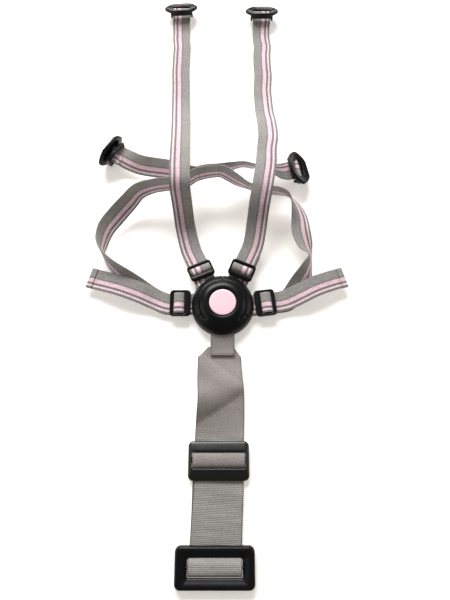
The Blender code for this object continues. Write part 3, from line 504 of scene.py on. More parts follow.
def rounded_outline(width, length, corner, steps=6, centre=(0.0, 0.0), chamfer=0.0):
    """Points of a rounded rectangle, anticlockwise; chamfer flattens its corners."""
    points = []
    for quarter, (sx, sy) in enumerate(((1, 1), (-1, 1), (-1, -1), (1, -1))):
        middle = Vector((centre[0] + sx * (width / 2 - corner),
                         centre[1] + sy * (length / 2 - corner)))
        for step in range(steps + 1):
            angle = math.radians(90 * (quarter + step / steps))
            reach = math.cos(math.radians(45)) / math.cos(math.radians(90 * step / steps - 45))
            reach = corner * (1 + (reach - 1) * chamfer)
            points.append(middle + reach * Vector((math.cos(angle), math.sin(angle))))
    return points


def moulded_ring(bm, outer, window, profile):
    """Bridges outlines between two loops; profile rows are the share of the way in and height."""
    loops = []
    for share, height in profile:
        verts = [bm.verts.new((a.x + (b.x - a.x) * share, a.y + (b.y - a.y) * share, height))
                 for a, b in zip(outer, window)]
        loops.append([bm.edges.new(pair) for pair in zip(verts, verts[1:] + verts[:1])])
    for loop, following in zip(loops, loops[1:] + loops[:1]):
        bmesh.ops.bridge_loops(bm, edges=loop + following)


def add_block(bm, size, centre, bevel=0.5, turn=None):
    """A block with rounded edges, turned about its own centre when asked."""
    cube = bmesh.ops.create_cube(bm, size=1.0)
    verts = cube["verts"]
    bmesh.ops.scale(bm, vec=Vector(size), verts=verts)
    edges = list({edge for vert in verts for edge in vert.link_edges})
    rounded = bmesh.ops.bevel(bm, geom=edges, offset=bevel, segments=3, profile=0.5, affect="EDGES",
                              clamp_overlap=True, material=-1)
    verts = list({vert for face in rounded["faces"] for vert in face.verts})
    if turn is not None:
        bmesh.ops.transform(bm, matrix=turn.to_4x4(), verts=verts)
    bmesh.ops.translate(bm, vec=Vector(centre), verts=verts)
    return verts


def add_rod(bm, start, end, radius, segments=24):
    """A cylinder between two points, closed at both ends."""
    start, end = Vector(start), Vector(end)
    span = end - start
    cone = bmesh.ops.create_cone(bm, cap_ends=True, segments=segments, radius1=radius,
                                 radius2=radius, depth=span.length)
    turn = span.to_track_quat("Z", "Y").to_matrix().to_4x4()
    bmesh.ops.transform(bm, matrix=Matrix.Translation(start + span / 2) @ turn, verts=cone["verts"])


def spun(profile, start=0.0, end=360.0):
    """A bmesh of revolution: a whole turn, or a sector whose ends are closed."""
    bm = bmesh.new()
    verts = [bm.verts.new((radius, 0.0, height)) for radius, height in profile]
    edges = [bm.edges.new(pair) for pair in zip(verts, verts[1:])]
    if profile[0][0] > 0:
        edges.append(bm.edges.new((verts[-1], verts[0])))
    steps = max(3, round(SPIN_STEPS * (end - start) / 360.0))
    if end - start >= 360.0:
        bmesh.ops.spin(bm, geom=verts + edges, axis=UP, cent=(0, 0, 0), angle=2 * math.pi,
                       steps=steps, use_merge=True)
    else:
        cap = bm.faces.new(verts)
        turn = Matrix.Rotation(math.radians(start), 3, "Z")
        bmesh.ops.rotate(bm, cent=(0, 0, 0), matrix=turn, verts=verts)
        bmesh.ops.spin(bm, geom=[cap], axis=UP, cent=(0, 0, 0),
                       angle=math.radians(end - start), steps=steps)
    bmesh.ops.remove_doubles(bm, verts=bm.verts, dist=1e-4)
    return bm


def notch_ends(bm, start, end, drop=0.5):
    """Lowers the upper edges of a sector's ends, so that its split shows as a fine groove."""
    for vert in bm.verts:
        angle = math.atan2(vert.co.y, vert.co.x)
        gaps = [abs(math.remainder(angle - math.radians(limit), 2 * math.pi))
                for limit in (start, end)]
        if vert.co.z > 9 and min(gaps) < 0.005:
            vert.co.z -= drop


def placing(origin, x_axis, y_axis):
    """The matrix that puts a mesh made about the world's origin on its own axes."""
    x_axis = Vector(x_axis).normalized()
    z_axis = x_axis.cross(Vector(y_axis)).normalized()
    turn = Matrix((x_axis, z_axis.cross(x_axis), z_axis)).transposed().to_4x4()
    return Matrix.Translation(Vector(origin)) @ turn


def object_from(bm, name, finish_name, sharp=38.0):
    """Makes a millimetre bmesh an object in metres."""
    bmesh.ops.recalc_face_normals(bm, faces=bm.faces)
    bmesh.ops.scale(bm, vec=Vector((MM, MM, MM)), verts=bm.verts)
    mesh = bpy.data.meshes.new(name)
    bm.to_mesh(mesh)
    bm.free()
    mesh.materials.append(finish_named(finish_name))
    mesh.shade_smooth()
    if sharp:
        mesh.set_sharp_from_angle(angle=math.radians(sharp))
    obj = bpy.data.objects.new(name, mesh)
    bpy.context.scene.collection.objects.link(obj)
    return obj


def cut_away(obj, cutters, sharp=38.0):
    """Subtracts each cutter for good, and removes it."""
    for cutter in cutters:
        modifier = obj.modifiers.new("cut", "BOOLEAN")
        modifier.operation = "DIFFERENCE"
        modifier.solver = "EXACT"
        modifier.object = cutter
        depsgraph = bpy.context.evaluated_depsgraph_get()
        mesh = bpy.data.meshes.new_from_object(obj.evaluated_get(depsgraph))
        obj.modifiers.clear()
        old, obj.data = obj.data, mesh
        name = old.name
        bpy.data.meshes.remove(old)
        mesh.name = name
        bpy.data.objects.remove(cutter, do_unlink=True)
    obj.data.shade_smooth()
    obj.data.set_sharp_from_angle(angle=math.radians(sharp))
    return obj


def settle(obj, body, slot, *nodes):
    """Puts a finished piece on its body and in place of its CAD nodes; its slot is not used."""
    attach(obj, body)
    if nodes:
        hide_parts(*nodes)
    return obj


# Webbing


def on_strap(strap, along, height):
    (x, y), (ux, uy) = strap
    return Vector((x + ux * along, y + uy * along, height))


def across_strap(strap):
    _, (ux, uy) = strap
    return Vector((uy, -ux, 0)).normalized()


def stations(rows):
    """Turns x, y, z, roll rows into points with the direction of the striped edge."""
    made = []
    for index, (x, y, z, roll) in enumerate(rows):
        before = rows[max(index - 1, 0)]
        after = rows[min(index + 1, len(rows) - 1)]
        ahead = Vector((after[0] - before[0], after[1] - before[1], 0)).normalized()
        angle = math.radians(roll)
        side = Vector((ahead.y, -ahead.x, 0)) * math.cos(angle) + UP * math.sin(angle)
        made.append((Vector((x, y, z)), side))
    return made


def wrap(bar, away, up, side, radius, spread=2.0, steps=10):
    """Half a turn round a bar, from the ply on its -up side to the one on its +up side."""
    bar, away, up = Vector(bar), Vector(away), Vector(up)
    turn = [(bar + away * spread - up * radius, side)]
    for step in range(steps + 1):
        angle = math.pi * step / steps
        turn.append((bar - up * radius * math.cos(angle) - away * radius * math.sin(angle), side))
    turn.append((bar + away * spread + up * radius, side))
    return turn


class Strap:
    """A smooth path through rows of points, with the direction of the webbing's striped edge."""

    def __init__(self, rows):
        self.points, self.sides = [], []
        last = len(rows) - 1
        for index in range(last):
            p0, p1, p2, p3 = (rows[min(max(index + k, 0), last)] for k in (-1, 0, 1, 2))
            span = (p2[0] - p1[0]).length
            before = (p1[0] - p0[0]).length + span
            beyond = (p3[0] - p2[0]).length + span
            count = max(1, math.ceil(span / STRAP_STEP))
            for step in range(count):
                t = step / count
                point, side = (
                    b + (c - b) * t * t * (3 - 2 * t) + (c - a) * (span / before) * t * (1 - t) ** 2
                    - (d - b) * (span / beyond) * t * t * (1 - t)
                    for a, b, c, d in zip(p0, p1, p2, p3))
                self.points.append(point)
                self.sides.append(side)
        self.points.append(rows[-1][0])
        self.sides.append(rows[-1][1])
        self.distances = [0.0]
        for before, after in zip(self.points, self.points[1:]):
            self.distances.append(self.distances[-1] + (after - before).length)
        self.length = self.distances[-1]

    def at(self, distance):
        """Point, striped edge's direction, direction of travel and outward normal there."""
        index = min(max(bisect.bisect_right(self.distances, distance) - 1, 0), len(self.points) - 2)
        span = self.distances[index + 1] - self.distances[index]
        share = min(max((distance - self.distances[index]) / span, 0.0), 1.0)
        point = self.points[index].lerp(self.points[index + 1], share)
        side = self.sides[index].lerp(self.sides[index + 1], share)
        last = len(self.points) - 1
        ahead_a = self.points[index + 1] - self.points[max(index - 1, 0)]
        ahead_b = self.points[min(index + 2, last)] - self.points[index]
        ahead = ahead_a.normalized().lerp(ahead_b.normalized(), share).normalized()
        side = (side - ahead * side.dot(ahead)).normalized()
        return point, side, ahead, side.cross(ahead)

    def nearest(self, target):
        """Distance along the path of the point closest to the target."""
        target = Vector(target)
        gaps = [(point - target).length for point in self.points]
        return self.distances[gaps.index(min(gaps))]


def webbing(name, strap, width, thick, finish_name, trim=None, relief=None,
            columns=STRAP_COLUMNS):
    """Webbing along a strap, from a flat grid with its own UV map; u runs from the striped edge."""
    rows = len(strap.distances) - 1
    bm = bmesh.new()
    bmesh.ops.create_grid(bm, x_segments=columns, y_segments=rows, size=0.5)
    for vert in bm.verts:
        row = round((vert.co.y + 0.5) * rows)
        vert.co = Vector(((vert.co.x + 0.5) * width, strap.distances[row], 0.0))
    for place, normal in trim or ():
        bmesh.ops.bisect_plane(bm, geom=bm.verts[:] + bm.edges[:] + bm.faces[:], plane_co=place,
                               plane_no=normal, clear_outer=True)
    uv = bm.loops.layers.uv.new("webbing")
    for face in bm.faces:
        for loop in face.loops:
            loop[uv].uv = (loop.vert.co.x / width, loop.vert.co.y * MM)
    for vert in bm.verts:
        shift, distance = vert.co.x, vert.co.y
        point, side, _, normal = strap.at(distance)
        lift, pull = relief(shift / width, distance) if relief else (0.0, 0.0)
        wander = 0.22 * noise.noise(Vector((distance * 0.035, width, strap.length)))
        vert.co = point + side * (width / 2 - shift + wander + pull) + normal * lift
    obj = object_from(bm, name, finish_name, sharp=None)
    shell = obj.modifiers.new("thickness", "SOLIDIFY")
    shell.thickness = thick * MM
    shell.offset = 0.0
    shell.use_quality_normals = True
    soft = obj.modifiers.new("soft_edges", "BEVEL")
    soft.width = EDGE_SOFTNESS * MM
    soft.segments = 2
    soft.limit_method = "ANGLE"
    soft.angle_limit = math.radians(60.0)
    soft.harden_normals = False
    return obj


def hemmed(rows, length):
    """Puts a hem, folded over and sewn, before the rows' first point."""
    (first, side), (second, _) = rows[0], rows[1]
    ahead = (second - first).normalized()
    radius = STRAP_THICK / 2 + HEM_GAP
    turn = wrap(first + ahead * radius + UP * radius, ahead, -UP, side, radius, spread=0.3,
                steps=6)
    over = [(first + ahead * length + UP * radius * 2, side),
            (first + ahead * 2.5 + UP * radius * 2, side)]
    return over + turn + [(first + ahead * 2.5, side)] + list(rows[1:])


def anchor_end(name, side):
    """Webbing round an anchor's bar: the sewn-back end first, the load-bearing ply last."""
    (x, y, z), (px, py), _ = ANCHORS[name]
    away = Vector((-px, -py, 0)).normalized()
    bar = Vector((x, y, z))
    drop = UP * (-2.0 if z < 11 else 0.0)
    tail = bar + away * 16 - UP * 0.9 + drop
    near = bar + away * 7 + drop * 1.6
    rows = [(tail, side), (near - UP * 1.1, side)]
    rows += wrap(bar, away, UP, side, ANCHOR_LOOP, spread=0.6)
    return rows + [(near + UP * 1.1, side)]


def shoulder_rows(strap, ply, run, anchor_name, striped_side):
    """A whole shoulder strap, from its end folded under the buckle's bar to its anchor."""
    side = across_strap(strap) * striped_side
    (s0, z0), (s1, z1) = ply
    slope = (z1 - z0) / (s1 - s0)
    low = max(min(z0 + slope * 44 - 2.4, 2.6), 1.0)
    rows = [(on_strap(strap, 46, low), side), (on_strap(strap, 24, 1.9), side),
            (on_strap(strap, 8, 2.5), side)]
    away = Vector((*strap[1], 0)).normalized()
    rows += wrap(on_strap(strap, 0, BAR_HEIGHT), away, UP, side, LOOP_RADIUS)
    rows += [(on_strap(strap, s0, z0), side), (on_strap(strap, 30, z0 + slope * 24), side),
             (on_strap(strap, 52, z0 + slope * 46), side)]
    upper_side = Vector((striped_side, 0, 0))
    for x, y, z, roll in run:
        angle = math.radians(roll)
        rows.append((Vector((x, y, z)), upper_side * math.cos(angle) + UP * math.sin(angle)))
    return rows + list(reversed(anchor_end(anchor_name, upper_side)))


def waist_rows(strap, tail, under, hem):
    """Tail, upper ply, half turn round the tongue's bar, lower ply and the run up to the turn."""
    side = across_strap(strap)
    side = side if side.y < 0 else -side
    rows = [(point, s if s.y < 0 else -s) for point, s in stations(tail)]
    rows = hemmed(rows, hem)
    rows += [(on_strap(strap, along, WAIST_UPPER), side) for along in (34, 20, 8)]
    away = Vector((*strap[1], 0)).normalized()
    rows += list(reversed(wrap(on_strap(strap, 0, BAR_HEIGHT), away, UP, side, LOOP_RADIUS)))
    rows += [(on_strap(strap, 8, WAIST_LOWER), side), (on_strap(strap, 34, WAIST_LOWER), side)]
    return rows + stations(under)


def waist_run_rows():
    """The waist strap behind the child, from its turn on the left to its turn on the right."""
    ends = ((-147.5, 67.6, 13.4, 0),), ((105.5, 58.6, 12.9, 0),)
    return stations(ends[0] + WAIST_RUN + ends[1])[1:-1]


def back_rows():
    """The back strap: left anchor, the stretch sewn behind the waist strap, right anchor."""
    front = Strap(waist_run_rows())
    seam = []
    for distance in front.distances[::3]:
        point, side, _, normal = front.at(distance)
        if BACK_SEAM[0] <= point.x <= BACK_SEAM[1] and point.y > 140:
            behind = normal if normal.y > 0 else -normal
            seam.append((point + behind * SEAM_OFFSET, side))
    sides = []
    for name in ("left_waist_anchor", "right_waist_anchor"):
        _, (px, py), _ = ANCHORS[name]
        sides.append(Vector((-py, px, 0)).normalized())
    start = anchor_end("left_waist_anchor", sides[0])
    end = list(reversed(anchor_end("right_waist_anchor", sides[1])))
    left = stations(((-143.5, 206.5, 15, 0),) + BACK_LEFT_RUN + ((-32, 160.6, 37.5, 0),))[1:-1]
    right = stations(((-4, 166, 37.5, 0),) + BACK_RIGHT_RUN + ((96.5, 182, 14, 0),))[1:-1]
    return start + left + seam + right + end


def stitch(bm, place, along, normal, length):
    """One short thread lying on the webbing."""
    sphere = bmesh.ops.create_uvsphere(bm, u_segments=6, v_segments=4, radius=1.0)
    turn = placing(place, along, normal.cross(along))
    shape = Matrix.Diagonal((length / 2, 0.3, 0.22, 1.0))
    bmesh.ops.transform(bm, matrix=turn @ shape, verts=sphere["verts"])


def stitch_across(bm, strap, distance, sizes, width=STRAP_WIDTH):
    """A row of stitches across the webbing, on both faces."""
    point, side, _, normal = strap.at(distance)
    pitch, length = sizes.stitch_gap / MM, sizes.stitch_length / MM
    count = int((width - 2 * STITCH_MARGIN) / pitch)
    for face in (1, -1):
        for index in range(count + 1):
            offset = (index - count / 2) * pitch
            lift = normal * face * (STRAP_THICK / 2 + STITCH_LIFT)
            stitch(bm, point + side * offset + lift, side, normal, length)


def settle_threads(bm, name, thread, body, slot="striped_webbing"):
    settle(object_from(bm, name, thread, sharp=None), body, slot)


def swerve_relief(swerves):
    """A relief that only pulls the webbing sideways, near each distance listed."""
    def relief(share, distance):
        return 0.0, sum(shift * math.exp(-(((distance - place) / spread) ** 2))
                        for place, shift, spread in swerves)
    return relief


class HARNESS_OT_shoulder_webbing(bpy.types.Operator):
    """Both shoulder straps, from the buckle's tongues to their anchors"""

    bl_idname = "harness.shoulder_webbing"
    bl_label = "Shoulder webbing"

    def execute(self, context):
        sizes = context.scene.harness_sizes
        for label, strap, ply, run, kinks, striped in (
                ("left", LEFT_SHOULDER, LEFT_PLY, LEFT_SHOULDER_RUN, LEFT_KINKS, -1.0),
                ("right", RIGHT_SHOULDER, RIGHT_PLY, RIGHT_SHOULDER_RUN, RIGHT_KINKS, 1.0)):
            anchor = label + "_shoulder_anchor"
            path = Strap(shoulder_rows(strap, ply, run, anchor, striped))
            bar = Vector(ANCHORS[anchor][0])
            swerves = [(path.nearest((run[-3][0], y, 2.6)), shift * striped, spread)
                       for y, shift, spread in kinks]
            obj = webbing(label + "_shoulder_webbing", path, STRAP_WIDTH, STRAP_THICK,
                          "striped_webbing", relief=swerve_relief(swerves))
            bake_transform(obj)
            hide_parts(label + "_shoulder_strap", label + "_shoulder_strap_end")
            bm = bmesh.new()
            for gap in (10.0, 14.0):
                stitch_across(bm, path, path.nearest(bar + Vector((0, -gap, -3.2))), sizes)
            settle_threads(bm, label + "_shoulder_stitching", "grey_thread", BODY)
        return {"FINISHED"}


class HARNESS_OT_waist_webbing(bpy.types.Operator):
    """The waist strap in two halves that meet under the back strap's seam, and the back strap"""

    bl_idname = "harness.waist_webbing"
    bl_label = "Waist and back webbing"

    def execute(self, context):
        sizes = context.scene.harness_sizes
        hem = sizes.hem_length / MM
        run = waist_run_rows()
        left_half, right_half = run[:WAIST_MEETING + 1], list(reversed(run[WAIST_MEETING:]))
        for label, strap, tail, under, half, nodes in (
                ("left", LEFT_WAIST, LEFT_TAIL, LEFT_UNDER, left_half,
                 ("left_waist_strap_end", "waist_strap")),
                ("right", RIGHT_WAIST, RIGHT_TAIL, RIGHT_UNDER, right_half,
                 ("right_waist_strap_end",))):
            path = Strap(waist_rows(strap, tail, under, hem) + half)
            obj = webbing(label + "_waist_webbing", path, STRAP_WIDTH, STRAP_THICK,
                          "striped_webbing")
            label + "_tongue"
            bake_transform(obj)
            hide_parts(*nodes)
            label + "_tongue"
            bm = bmesh.new()
            fold = hem + math.pi * (STRAP_THICK / 2 + HEM_GAP)
            stitch_across(bm, path, fold + hem - 1.8, sizes)
            settle_threads(bm, label + "_hem_stitching", "grey_thread", label + "_tongue")
        back = Strap(back_rows())
        obj = webbing("back_webbing", back, STRAP_WIDTH, STRAP_THICK, "striped_webbing")
        settle(obj, BODY, "striped_webbing", "back_strap")
        bm = bmesh.new()
        front = Strap(run)
        for x in (-30.5, -6.0):
            place = next(d for d in front.distances if front.at(d)[0].x > x)
            stitch_across(bm, front, place, sizes)
        for distance in (29.5, back.length - 29.5):
            stitch_across(bm, back, distance, sizes)
        settle_threads(bm, "back_stitching", "dark_thread", BODY)
        return {"FINISHED"}


def eased(share):
    """From 0 to 1, steep at the start and flat at the end."""
    return 1 - (1 - min(max(share, 0.0), 1.0)) ** 2


def crotch_relief(share, distance):
    """Lift of the wide strap's creases over its flat path, and pull towards its left."""
    x = (share - 0.5) * CROTCH_WIDTH
    y = -49 - distance
    right = min(max(x / 48 + 0.5, 0.0), 1.0)
    # a swell between a crease that runs down from the tab and one that climbs from the left edge
    below = eased((y + 118.7 - 0.672 * x) / (34 - 20 * right))
    above = eased((-72.0 - 0.74 * x - y) / 22)
    swell = (6.4 - 2.2 * right) * below * above
    ripple = 0.35 * math.sin(y * 0.21 + x * 0.05) * math.exp(-(((y + 200) / 30.0) ** 2))
    near_loop = math.exp(-(((distance - 226) / 9.0) ** 2))
    spread = 0.9 * (share - 0.5) * 2 * near_loop
    narrow = 4.0 * share * math.exp(-(((y + 60) / 45.0) ** 2))
    return swell + ripple, narrow - spread


class HARNESS_OT_crotch_webbing(bpy.types.Operator):
    """The wide crotch strap with its loop round the anchor frame, and the tab on the buckle"""

    bl_idname = "harness.crotch_webbing"
    bl_label = "Crotch webbing"

    def execute(self, context):
        sizes = context.scene.harness_sizes
        side = Vector((-1, 0, 0))
        rows = []
        for x, y, z, roll in CROTCH_RUN:
            angle = math.radians(roll)
            rows.append((Vector((x, y, z)), side * math.cos(angle) - UP * math.sin(angle)))
        x, y, _ = FRAME_PLACE
        bar = Vector((x, y, FRAME_BAR_HEIGHT))
        turn = [(bar + Vector((0, 7.0, 1.2)), side), (bar + Vector((0, 4.4, 2.9)), side),
                (bar + Vector((0, 0.0, 3.4)), side), (bar + Vector((0, -5.0, 2.8)), side),
                (bar + Vector((0, -7.5, 0.4)), side), (bar + Vector((0, -6.4, -2.4)), side),
                (bar + Vector((0, 0.0, -3.6)), side), (bar + Vector((0, 6.0, -3.6)), side)]
        rows += turn
        rows += [(Vector((-6.8, -258, LOWER_PLY)), side), (Vector((-6.3, -247, LOWER_PLY)), side),
                 (Vector((-5.6, -220, LOWER_PLY)), side), (Vector((-5.0, -182, LOWER_PLY)), side)]
        path = Strap(rows)
        left_cut = ((12.0, 0.0, 0.0), (-0.72, -0.69, 0.0))
        right_cut = ((CROTCH_WIDTH - 9.5, 0.0, 0.0), (0.78, -0.62, 0.0))
        obj = webbing("crotch_webbing", path, CROTCH_WIDTH, CROTCH_THICK, "grey_webbing",
                      trim=(left_cut, right_cut), relief=crotch_relief, columns=26)
        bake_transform(obj)
        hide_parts("crotch_strap", "crotch_strap_return", "crotch_anchor_webbing")

        tab_rows = [(Vector((0, -59.5, 5.6)), side), (Vector((0, -53, 5.5)), side),
                    (Vector((0, -46, 6.2)), side), (on_strap(CROTCH_BAR, 6, 7.3), side)]
        tab_rows += list(reversed(wrap(on_strap(CROTCH_BAR, 0, BAR_HEIGHT), (0, -1, 0), UP, side,
                                       LOOP_RADIUS)))
        tab_rows += [(Vector((0, -40, 1.3)), side), (Vector((0, -47, 1.0)), side)]
        tab = Strap(tab_rows)
        obj = webbing("crotch_tab_webbing", tab, TAB_WIDTH, STRAP_THICK, "grey_webbing", columns=14)
        settle(obj, BODY, "grey_webbing", "crotch_tab")

        bm = bmesh.new()
        stitch_across(bm, tab, 2.0, sizes, TAB_WIDTH)
        pitch, length = sizes.stitch_gap / MM, sizes.stitch_length / MM
        for edge in (-1, 1):
            for index in range(6):
                point, across, ahead, normal = tab.at(2.0 + pitch * index)
                lift = normal * (STRAP_THICK / 2 + STITCH_LIFT) * (1 if normal.z > 0 else -1)
                inset = across * edge * (TAB_WIDTH / 2 - STITCH_MARGIN)
                stitch(bm, point + inset + lift, ahead, normal, length)
        settle_threads(bm, "crotch_stitching", "dark_thread", BODY, "grey_webbing")
        return {"FINISHED"}


# Buckle

RIM_SECTION = [  # radius and height
    (27.3, 1.9), (27.3, 16.3), (27.4, 16.6), (27.75, 16.7), (28.6, 16.4), (29.6, 15.95),
    (30.6, 15.4), (32.0, 14.6), (33.6, 13.4), (35.0, 12.0), (36.1, 10.3), (36.75, 8.4),
    (37.0, 6.6), (37.0, 3.0),
    (36.85, 2.2), (36.4, 1.7), (35.8, 1.5), (28.0, 1.5)]
BLENDED_SECTION = [
    (22.4, 12.0), (22.4, 19.8), (23.4, 19.45), (24.4, 19.02), (25.4, 18.52), (26.4, 17.98),
    (27.2, 17.5), (28.0, 17.0), (29.0, 16.4), (30.0, 15.8), (31.0, 15.15), (32.0, 14.45),
    (33.0, 13.65), (34.0, 12.75), (35.0, 11.6), (35.8, 10.4), (36.45, 9.0), (36.85, 7.5),
    (37.0, 6.2), (37.0, 3.0), (36.85, 2.2), (36.4, 1.7), (35.8, 1.5), (27.2, 1.5), (27.2, 12.0)]
DOME_SECTION = [
    (27.0, 1.8), (27.0, 16.7), (26.85, 17.15), (26.4, 17.55), (25.4, 18.2), (24.2, 18.85),
    (23.0, 19.4), (21.8, 19.85), (20.6, 20.15), (19.5, 20.3), (18.5, 20.3), (17.6, 20.15),
    (17.0, 19.85), (16.6, 19.35), (16.4, 18.6), (16.4, 15.6), (18.4, 15.6), (18.4, 17.4),
    (21.4, 17.6), (23.4, 16.6), (24.8, 14.6), (24.8, 1.8)]


def height_on(section, radius):
    """Height of a section's upper side at a radius."""
    upper = [(r, z) for r, z in section if z > 8.0]
    for (r0, z0), (r1, z1) in zip(upper, upper[1:]):
        if min(r0, r1) <= radius <= max(r0, r1) and abs(r1 - r0) > 1e-6:
            return z0 + (z1 - z0) * (radius - r0) / (r1 - r0)
    return upper[-1][1]


def pocket_cutter(strap, width=POCKET[0]):
    """The space round a bar, open towards the strap and below."""
    reach, inner = 14.0, LOOP_RADIUS + STRAP_THICK / 2 + 0.35
    bm = bmesh.new()
    add_block(bm, (width, reach + inner, POCKET[1] + 6),
              (0, (reach - inner) / 2, POCKET[1] / 2 - 3), 0.9)
    matrix = placing(on_strap(strap, 0, 0), across_strap(strap), (*strap[1], 0))
    bmesh.ops.transform(bm, matrix=matrix, verts=bm.verts)
    return object_from(bm, "pocket", "black_plastic")


class HARNESS_OT_buckle(bpy.types.Operator):
    """The buckle's domed cover with the lower rim, and the release button with its disc"""

    bl_idname = "harness.buckle"
    bl_label = "Buckle"

    def execute(self, context):
        bm = spun(DOME_SECTION)
        cover = object_from(bm, "buckle_cover", "black_plastic")
        slot_bm = bmesh.new()
        add_block(slot_bm, (70, BLADE_WIDTH + 1.2, BLADE_THICK + 1.0),
                  (0, 0, BLADE_BOTTOM + BLADE_THICK / 2), 0.3)
        cut_away(cover, [object_from(slot_bm, "blade_slot", "black_plastic")])
        settle(cover, BODY, "black_plastic", "buckle_front_cover")

        bm = spun(BLENDED_SECTION, *LOWER_RIM)
        middle = math.radians(sum(LOWER_RIM) / 2)
        half = math.radians((LOWER_RIM[1] - LOWER_RIM[0]) / 2)
        for vert in bm.verts:
            radius = math.hypot(vert.co.x, vert.co.y)
            angle = abs(math.remainder(math.atan2(vert.co.y, vert.co.x) - middle, 2 * math.pi))
            ease = min(max((half - angle) / math.radians(24), 0.0), 1.0)
            ease = ease * ease * (3 - 2 * ease)
            if vert.co.z > 9:
                section = DOME_SECTION if radius < 27.4 else RIM_SECTION
                flat = height_on(section, radius) - 0.15
                vert.co.z = flat + (vert.co.z - flat) * ease
        notch_ends(bm, *LOWER_RIM)
        rim = object_from(bm, "buckle_lower_rim", "black_plastic")
        cut_away(rim, [pocket_cutter(CROTCH_BAR, TAB_WIDTH + 1.4)])
        settle(rim, BODY, "black_plastic")

        bm = bmesh.new()
        half_bar = Vector((TAB_WIDTH / 2 + 1.3, 0, 0))
        bar = on_strap(CROTCH_BAR, 0, BAR_HEIGHT)
        add_rod(bm, bar - half_bar, bar + half_bar, BAR_RADIUS)
        for angle in (90.0, 210.0, 330.0):
            turn = Matrix.Rotation(math.radians(angle), 3, "Z")
            add_block(bm, (9.6, 4.6, 0.7), turn @ Vector((31.6, 0, 0.8)), 0.2, turn)
        settle(object_from(bm, "buckle_ledges", "black_plastic"), BODY, "black_plastic")

        bm = spun([(0, 18.7), (15.8, 18.7), (15.95, 18.75), (BUTTON_RADIUS, 18.6),
                   (BUTTON_RADIUS, 16.0), (14.4, 16.0), (14.4, 17.2), (0, 17.2)])
        add_rod(bm, (0, 0, 7.9), (0, 0, 17.4), 4.0)
        button = object_from(bm, "button_cap", "black_plastic")
        settle(button, "release_button", "black_plastic", "release_button")

        bm = spun([(0, 18.9), (BADGE_RADIUS - 0.2, 18.9), (BADGE_RADIUS - 0.15, 19.55),
                   (BADGE_RADIUS - 0.35, 19.95), (BADGE_RADIUS - 0.8, 20.15), (13.0, 20.24),
                   (9.0, 20.3), (4.5, 20.34), (0, 20.35)])
        disc = object_from(bm, "button_disc", "pink_badge", sharp=60.0)
        settle(disc, "release_button", "pink_badge", "button_badge")
        return {"FINISHED"}


class HARNESS_OT_tongues(bpy.types.Operator):
    """The two tongues: rim sectors with a blade each and the bars that hold the webbing"""

    bl_idname = "harness.tongues"
    bl_label = "Tongues"

    def execute(self, context):
        for label, start, end, sign, shoulder, waist in (
                ("left", 90.16, 209.84, -1, LEFT_SHOULDER, LEFT_WAIST),
                ("right", -29.84, 89.84, 1, RIGHT_SHOULDER, RIGHT_WAIST)):
            bm = spun(RIM_SECTION, start, end)
            notch_ends(bm, start, end)
            rim = object_from(bm, label + "_tongue_rim", "black_plastic")
            cut_away(rim, [pocket_cutter(shoulder), pocket_cutter(waist)])
            settle(rim, label + "_tongue", "black_plastic", label + "_tongue")
            bm = bmesh.new()
            root = 29.0
            outer = rounded_outline(root - BLADE_TIP, BLADE_WIDTH, 2.2, 5,
                                    (sign * (root + BLADE_TIP) / 2, 0))
            window = rounded_outline(4.0, 9.0, 0.8, 5, (sign * 14.0, 0))
            top = BLADE_BOTTOM + BLADE_THICK
            moulded_ring(bm, outer, window, [
                (0.0, BLADE_BOTTOM + 0.4), (0.0, top - 0.4), (0.03, top), (0.97, top),
                (1.0, top - 0.2), (1.0, BLADE_BOTTOM + 0.2), (0.97, BLADE_BOTTOM),
                (0.03, BLADE_BOTTOM)])
            for strap in (shoulder, waist):
                half = across_strap(strap) * (POCKET[0] / 2 + 0.6)
                bar = on_strap(strap, 0, BAR_HEIGHT)
                add_rod(bm, bar - half, bar + half, BAR_RADIUS)
            settle(object_from(bm, label + "_tongue_blade", "black_plastic"), label + "_tongue",
                   "black_plastic")
        return {"FINISHED"}


# Adjusters, slider, crotch frame and anchors


def arch_webbing(name, matrix, width, thick, window, crown, foot, striped, finish_name):
    """Webbing that rises over a centre bar and fills the window."""
    reach = window / 2 - thick * 0.35
    side = matrix.to_3x3() @ Vector((striped, 0, 0))
    rows = []
    for step in range(ARCH_STEPS + 1):
        angle = math.pi * step / ARCH_STEPS
        y = -math.cos(angle) * reach
        z = foot + (crown - foot) * math.sin(angle) ** ARCH_FULLNESS
        rows.append((matrix @ Vector((0, y, z)), side))
    path = Strap(rows)
    return webbing(name, path, width, thick, finish_name), path


